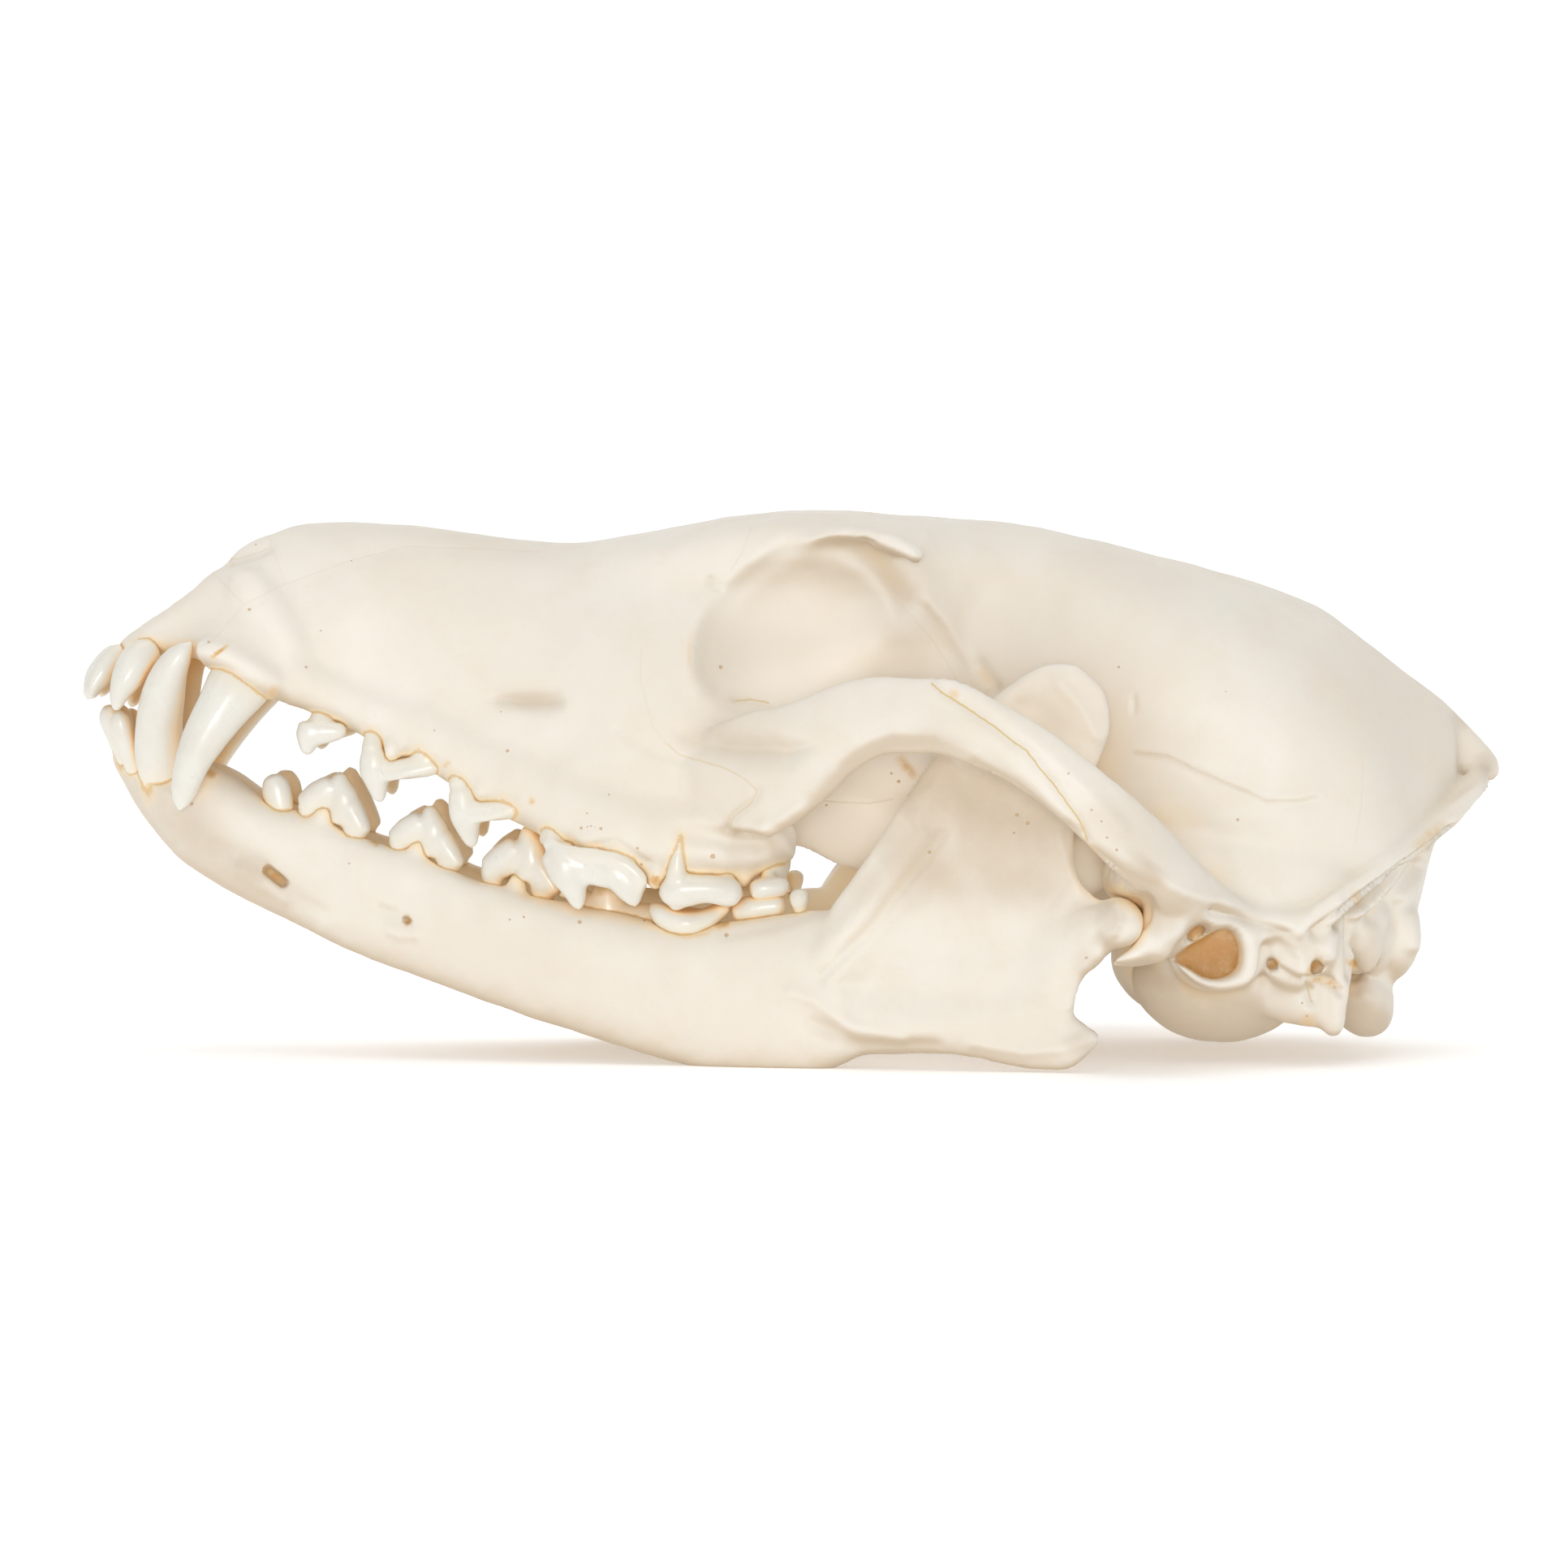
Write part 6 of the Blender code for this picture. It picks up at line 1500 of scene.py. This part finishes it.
def teeth(jaw, word, side):
    """The teeth of one side of a jaw, each one a skin around its bars."""
    made = []
    for kind, bars in TEETH_PX[jaw].items():
        pieces = [px_bar("cusp", rows, side) for rows in bars]
        if jaw == "upper" and kind in TOOTH_LOBES:
            centre, radii = TOOTH_LOBES[kind]
            pieces.append(ellipsoid("lobe", centre, radii, side, size=20))
        tooth = join(f"{jaw}_{kind}_{word}", pieces)
        skin(tooth, TOOTH_VOXEL)
        relax(tooth, 5 if len(bars) > 1 else 2)
        # Painted shadow in the shaded notches of the teeth.
        amber_shade = Carving(tooth).line_values(TEETH_AMBER_SHADE_PX, tapered=True)
        set_attribute(tooth, "amber_shade", np.clip(amber_shade, 0, 1))
        made.append(tooth)
    return made


def bone_peaks(jaw, side):
    """The bone between the roots of each tooth."""
    return [
        ellipsoid("bone_peak", at_px(*pixel, out), radii, side, size=16)
        for pixel, out, radii in BONE_PEAKS_PX[jaw]
    ]


# The lower jaw

def ramus_plate(side):
    """The flat rear part of a jaw half, as rounded sections stacked along Z."""
    rings = []
    curve = smooth_curve(RAMUS)
    turn = np.linspace(0, 2 * math.pi, 48, endpoint=False)
    share = (1 - np.cos(turn)) / 2
    for z in np.linspace(RAMUS[0][0], RAMUS[-1][0], 60):
        front, back, out_front, out_back, half = curve(z)[0]
        x = front + (back - front) * share
        ridge = 1 + 0.55 * np.exp(-(((share - 0.1) / 0.09) ** 2))
        face = np.sign(np.sin(turn)) * np.abs(np.sin(turn)) ** 0.5
        y = out_front + (out_back - out_front) * share + half * ridge * face
        rings.append(np.column_stack([x, y * side, np.full_like(x, z)]))
    return loft("ramus", rings)


def mandible(word, side):
    """One half of the lower jaw without its teeth."""
    x, out, z = JAW_JOINT
    r, half = CONDYLE_RADIUS, CONDYLE_HALF_LENGTH
    body = join("mandible_" + word + "_bone", [
        section_body("jaw_bar", JAW, 90, side, 32),
        ramus_plate(side),
        bar("condyle", (
            (x, out + half, z, r * 0.8, r * 0.8), (x, out + half * 0.5, z, r, r),
            (x, out - half * 0.4, z, r * 0.9, r * 0.9), (x + 0.2, out - half, z, r * 0.7, r * 0.7),
        ), 20, side, 28, ends=0.12),
        bar("neck", (
            (x - 11.0, out - 1.0, z - 3.6, 0.9, 4.0), (x - 6.0, out - 0.7, z - 2.4, 1.3, 4.0),
            (x - 3.0, out - 0.5, z - 1.4, 1.7, 3.4), (x - 0.6, out - 0.3, z - 0.4, 2.0, 2.6),
        ), 14, side, 18),
        bar("condyle_face", (
            (x - 8.0, out - 0.8, z - 3.6, 0.7, 3.2), (x - 4.6, out + 0.2, z - 2.4, 1.1, 3.2),
            (x - 2.2, out + 1.8, z - 0.9, 1.6, 2.8), (x - 0.3, out + 3.4, z, 2.0, 2.4),
        ), 14, side, 18),
        bar("angle", JAW_ANGLE, 16, side, 16, ends=0.15),
        *bone_peaks("lower", side),
    ])
    skin(body, JAW_VOXEL)
    relax(body, 8)
    combine(body, openings(JAW_OPENINGS_PX, side), "DIFFERENCE")
    skin(body, JAW_VOXEL)
    relax(body, 3)
    drop_scraps(body)
    carving = Carving(body)
    carving.carve(JAW_LINES_PX, JAW_HOLLOWS_PX)
    carving.roughen(seed=21)
    carving.points[:, 2] = np.maximum(carving.points[:, 2], 0.0)
    carving.write()
    mark_details(carving, (), JAW_PORES_PX, JAW_AMBER_SHADE_PX, JAW_TAN_SHADE_LIGHT_PX)
    return body


# Colour of hollows and gaps, mostly painted light and shade

def mark_details(carving, seams, pores, amber_shade, tan_shade_light):
    """Marks seams and pores, the coloured strokes of painted shade and light, how far each place lies below
    its surroundings, and what faces down.
    """
    obj = carving.obj
    even = spread(carving.points, carving.a, carving.b, 50)
    sunk = np.einsum("ij,ij->i", even - carving.points, carving.normals)
    # How sunk a place is, for painted light on raised places and painted shade in hollows.
    set_attribute(obj, "hollow", np.clip(sunk / FULL_HOLLOW, -1, 1))
    # What faces down, for painted shade.
    set_attribute(obj, "underside_shade", np.clip(-carving.normals[:, 2], 0, 1))
    set_attribute(obj, "amber_shade", np.clip(carving.line_values(amber_shade, tapered=True), 0, 1))
    set_attribute(obj, "tan_shade_light", np.clip(carving.line_values(tan_shade_light, tapered=True), -1, 1))
    carving.mark_lines("seam", seams)
    carving.mark_lines("pore", [(((x, y), (x + 0.5, y)), size, None) for x, y, size in pores], far=0.9)


def tree_of(objects):
    """A search tree of the surfaces of several objects, in metres."""
    points, faces, first = [], [], 0
    for obj in objects:
        vertices, polygons = take_mesh(obj)
        points.append(vertices * MM)
        faces += [tuple(i + first for i in polygon) for polygon in polygons]
        first += len(vertices)
    return BVHTree.FromPolygons(np.concatenate(points).tolist(), faces)


def mark_gap(obj, tree, reach):
    """Marks each place's distance to the surfaces in the tree, in millimetres, below zero inside them."""
    values = np.full(len(obj.data.vertices), reach)
    for vertex in obj.data.vertices:
        place, normal, _, distance = tree.find_nearest(vertex.co, reach * MM)
        if place is not None:
            values[vertex.index] = math.copysign(distance / MM, normal.dot(vertex.co - place))
    set_attribute(obj, "gap", values)


def closed_in(sample, tree):
    """How little open air a sample's vertices have around them, for painted shade: 0 in the open, 1 where
    they are closed in, and faces turned towards the middle count as partly closed in.
    """
    k = np.arange(SHELTER_RAYS) + 0.5
    rise = np.sqrt(1 - k / SHELTER_RAYS)
    flat = np.sqrt(1 - rise**2)
    turn = k * math.pi * (3 - math.sqrt(5))
    normal = sample.normals
    aside = np.cross(normal, np.where(np.abs(normal[:, :1]) < 0.8, (1.0, 0.0, 0.0), (0.0, 1.0, 0.0)))
    aside /= np.linalg.norm(aside, axis=1)[:, None]
    across = np.cross(normal, aside)
    starts = ((sample.points + normal * SHELTER_START) * MM).tolist()
    reach = SHELTER_REACH * MM
    occlusion_shade = np.zeros(len(starts))
    for up, out, angle in zip(rise, flat, turn):
        ways = normal * up + aside * out * math.cos(angle) + across * out * math.sin(angle)
        for n, (start, way) in enumerate(zip(starts, ways.tolist())):
            distance = tree.ray_cast(start, way, reach)[3]
            if distance is not None:
                occlusion_shade[n] += 1 - 0.7 * distance / reach
    # Faces turned towards the middle, like the far side's inner faces seen through gaps, count as partly
    # closed in and so get painted shade.
    inward = np.clip(-normal[:, 1] * np.sign(sample.points[:, 1]), 0, 1)
    return 1 - (1 - occlusion_shade / SHELTER_RAYS) * (1 - 0.6 * inward)


def mark_occlusion_shade(objects):
    """Marks how closed in each place is, for painted light and shade, measured on coarse copies of the
    objects.
    """
    copies = []
    for obj in objects:
        copy = bpy.data.objects.new("copy", obj.data.copy())
        bpy.context.scene.collection.objects.link(copy)
        skin(copy, SHELTER_VOXEL if len(obj.data.vertices) > 30000 else SHELTER_VOXEL / 2)
        copies.append(copy)
    tree = tree_of(copies)
    for obj, copy in zip(objects, copies):
        sample = Carving(copy)
        occlusion_shade = spread(closed_in(sample, tree), sample.a, sample.b, 2)[:, 0]
        nearest = KDTree(len(occlusion_shade))
        for n, point in enumerate(sample.points.tolist()):
            nearest.insert(point, n)
        nearest.balance()
        carving = Carving(obj)
        found = [nearest.find(point)[1] for point in carving.points.tolist()]
        set_attribute(obj, "occlusion_shade", spread(occlusion_shade[found], carving.a, carving.b, 6))
        bpy.data.objects.remove(copy)


# The studio

def studio_floor():
    """A seamless pale floor that bends up into a backdrop."""
    width, front, back, height, bend, steps = 3.0, -1.6, 0.9, 1.6, 0.5, 12
    profile = [(front, 0.0), (back - bend, 0.0)]
    for k in range(1, steps + 1):
        turn = k / steps * math.pi / 2
        profile.append((back - bend + bend * math.sin(turn), bend - bend * math.cos(turn)))
    profile.append((back, height))
    vertices = [(x * width / 2, y, z) for y, z in profile for x in (-1, 1)]
    faces = [(2 * k, 2 * k + 1, 2 * k + 3, 2 * k + 2) for k in range(len(profile) - 1)]
    mesh = bpy.data.meshes.new("floor")
    mesh.from_pydata(vertices, [], faces)
    floor = bpy.data.objects.new("floor", mesh)
    bpy.context.scene.collection.objects.link(floor)
    mesh.shade_smooth()
    material = bpy.data.materials.new("floor")
    material.use_nodes = True
    shader = material.node_tree.nodes["Principled BSDF"]
    shader.inputs["Base Color"].default_value = (0.97, 0.97, 0.97, 1)
    shader.inputs["Emission Color"].default_value = (1, 1, 1, 1)
    shader.inputs["Emission Strength"].default_value = 0.28
    shader.inputs["Roughness"].default_value = 0.85
    shader.inputs["Specular IOR Level"].default_value = 0.2
    mesh.materials.append(material)
    return floor


def stage():
    """The floor, soft lights and the photograph's camera."""
    floor = studio_floor()

    world = bpy.data.worlds.new("studio")
    world.use_nodes = True
    background = world.node_tree.nodes["Background"]
    background.inputs["Color"].default_value = (1, 1, 1, 1)
    background.inputs["Strength"].default_value = 0.53
    bpy.context.scene.world = world

    aim = Vector(CAMERA_AIM) * MM
    for name, place, power, size in LIGHTS:
        lamp = bpy.data.lights.new(name, "AREA")
        lamp.energy = power
        lamp.size = size
        lamp_object = bpy.data.objects.new(name, lamp)
        bpy.context.scene.collection.objects.link(lamp_object)
        lamp_object.location = place
        lamp_object.rotation_euler = (aim - Vector(place)).to_track_quat("-Z", "Y").to_euler()

    place, _, _, forward = camera_axes()
    lens = bpy.data.cameras.new("camera")
    lens.sensor_width = SENSOR_WIDTH
    lens.lens = SENSOR_WIDTH * CAMERA_DISTANCE / VIEW_WIDTH
    lens.clip_start = 0.01
    camera = bpy.data.objects.new("camera", lens)
    bpy.context.scene.collection.objects.link(camera)
    camera.location = Vector(place) * MM
    camera.rotation_euler = Vector(forward).to_track_quat("-Z", "Y").to_euler()
    bpy.context.scene.camera = camera
    bpy.context.scene.view_settings.view_transform = "Standard"


def finish_piece(obj, material, nodes):
    """Gives a piece its material and the nodes that it shows."""
    obj.data.materials.clear()
    obj.data.materials.append(material)
    obj.data.shade_smooth()
    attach(obj, "root")
    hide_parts(*nodes)


def main():
    bone, enamel = bone_material(), enamel_material()
    cranium = cranium_body()
    upper_teeth = [tooth for word, side in SIDES.items() for tooth in teeth("upper", word, side)]
    groups = [(cranium, upper_teeth, CRANIUM_NODES, "rostrum")]
    for word, side in SIDES.items():
        groups.append((mandible(word, side), teeth("lower", word, side), (), "mandible_" + word))
    mark_occlusion_shade([piece for body, own_teeth, _, _ in groups for piece in (body, *own_teeth)])
    for body, own_teeth, more_nodes, tooth_node in groups:
        mark_gap(body, tree_of(own_teeth), 1.0)
        around = tree_of([body])
        for tooth in own_teeth:
            mark_gap(tooth, around, 3.0)
            finish_piece(tooth, enamel, [tooth_node])
        finish_piece(body, bone, [tooth_node, *more_nodes])
    stage()


main()
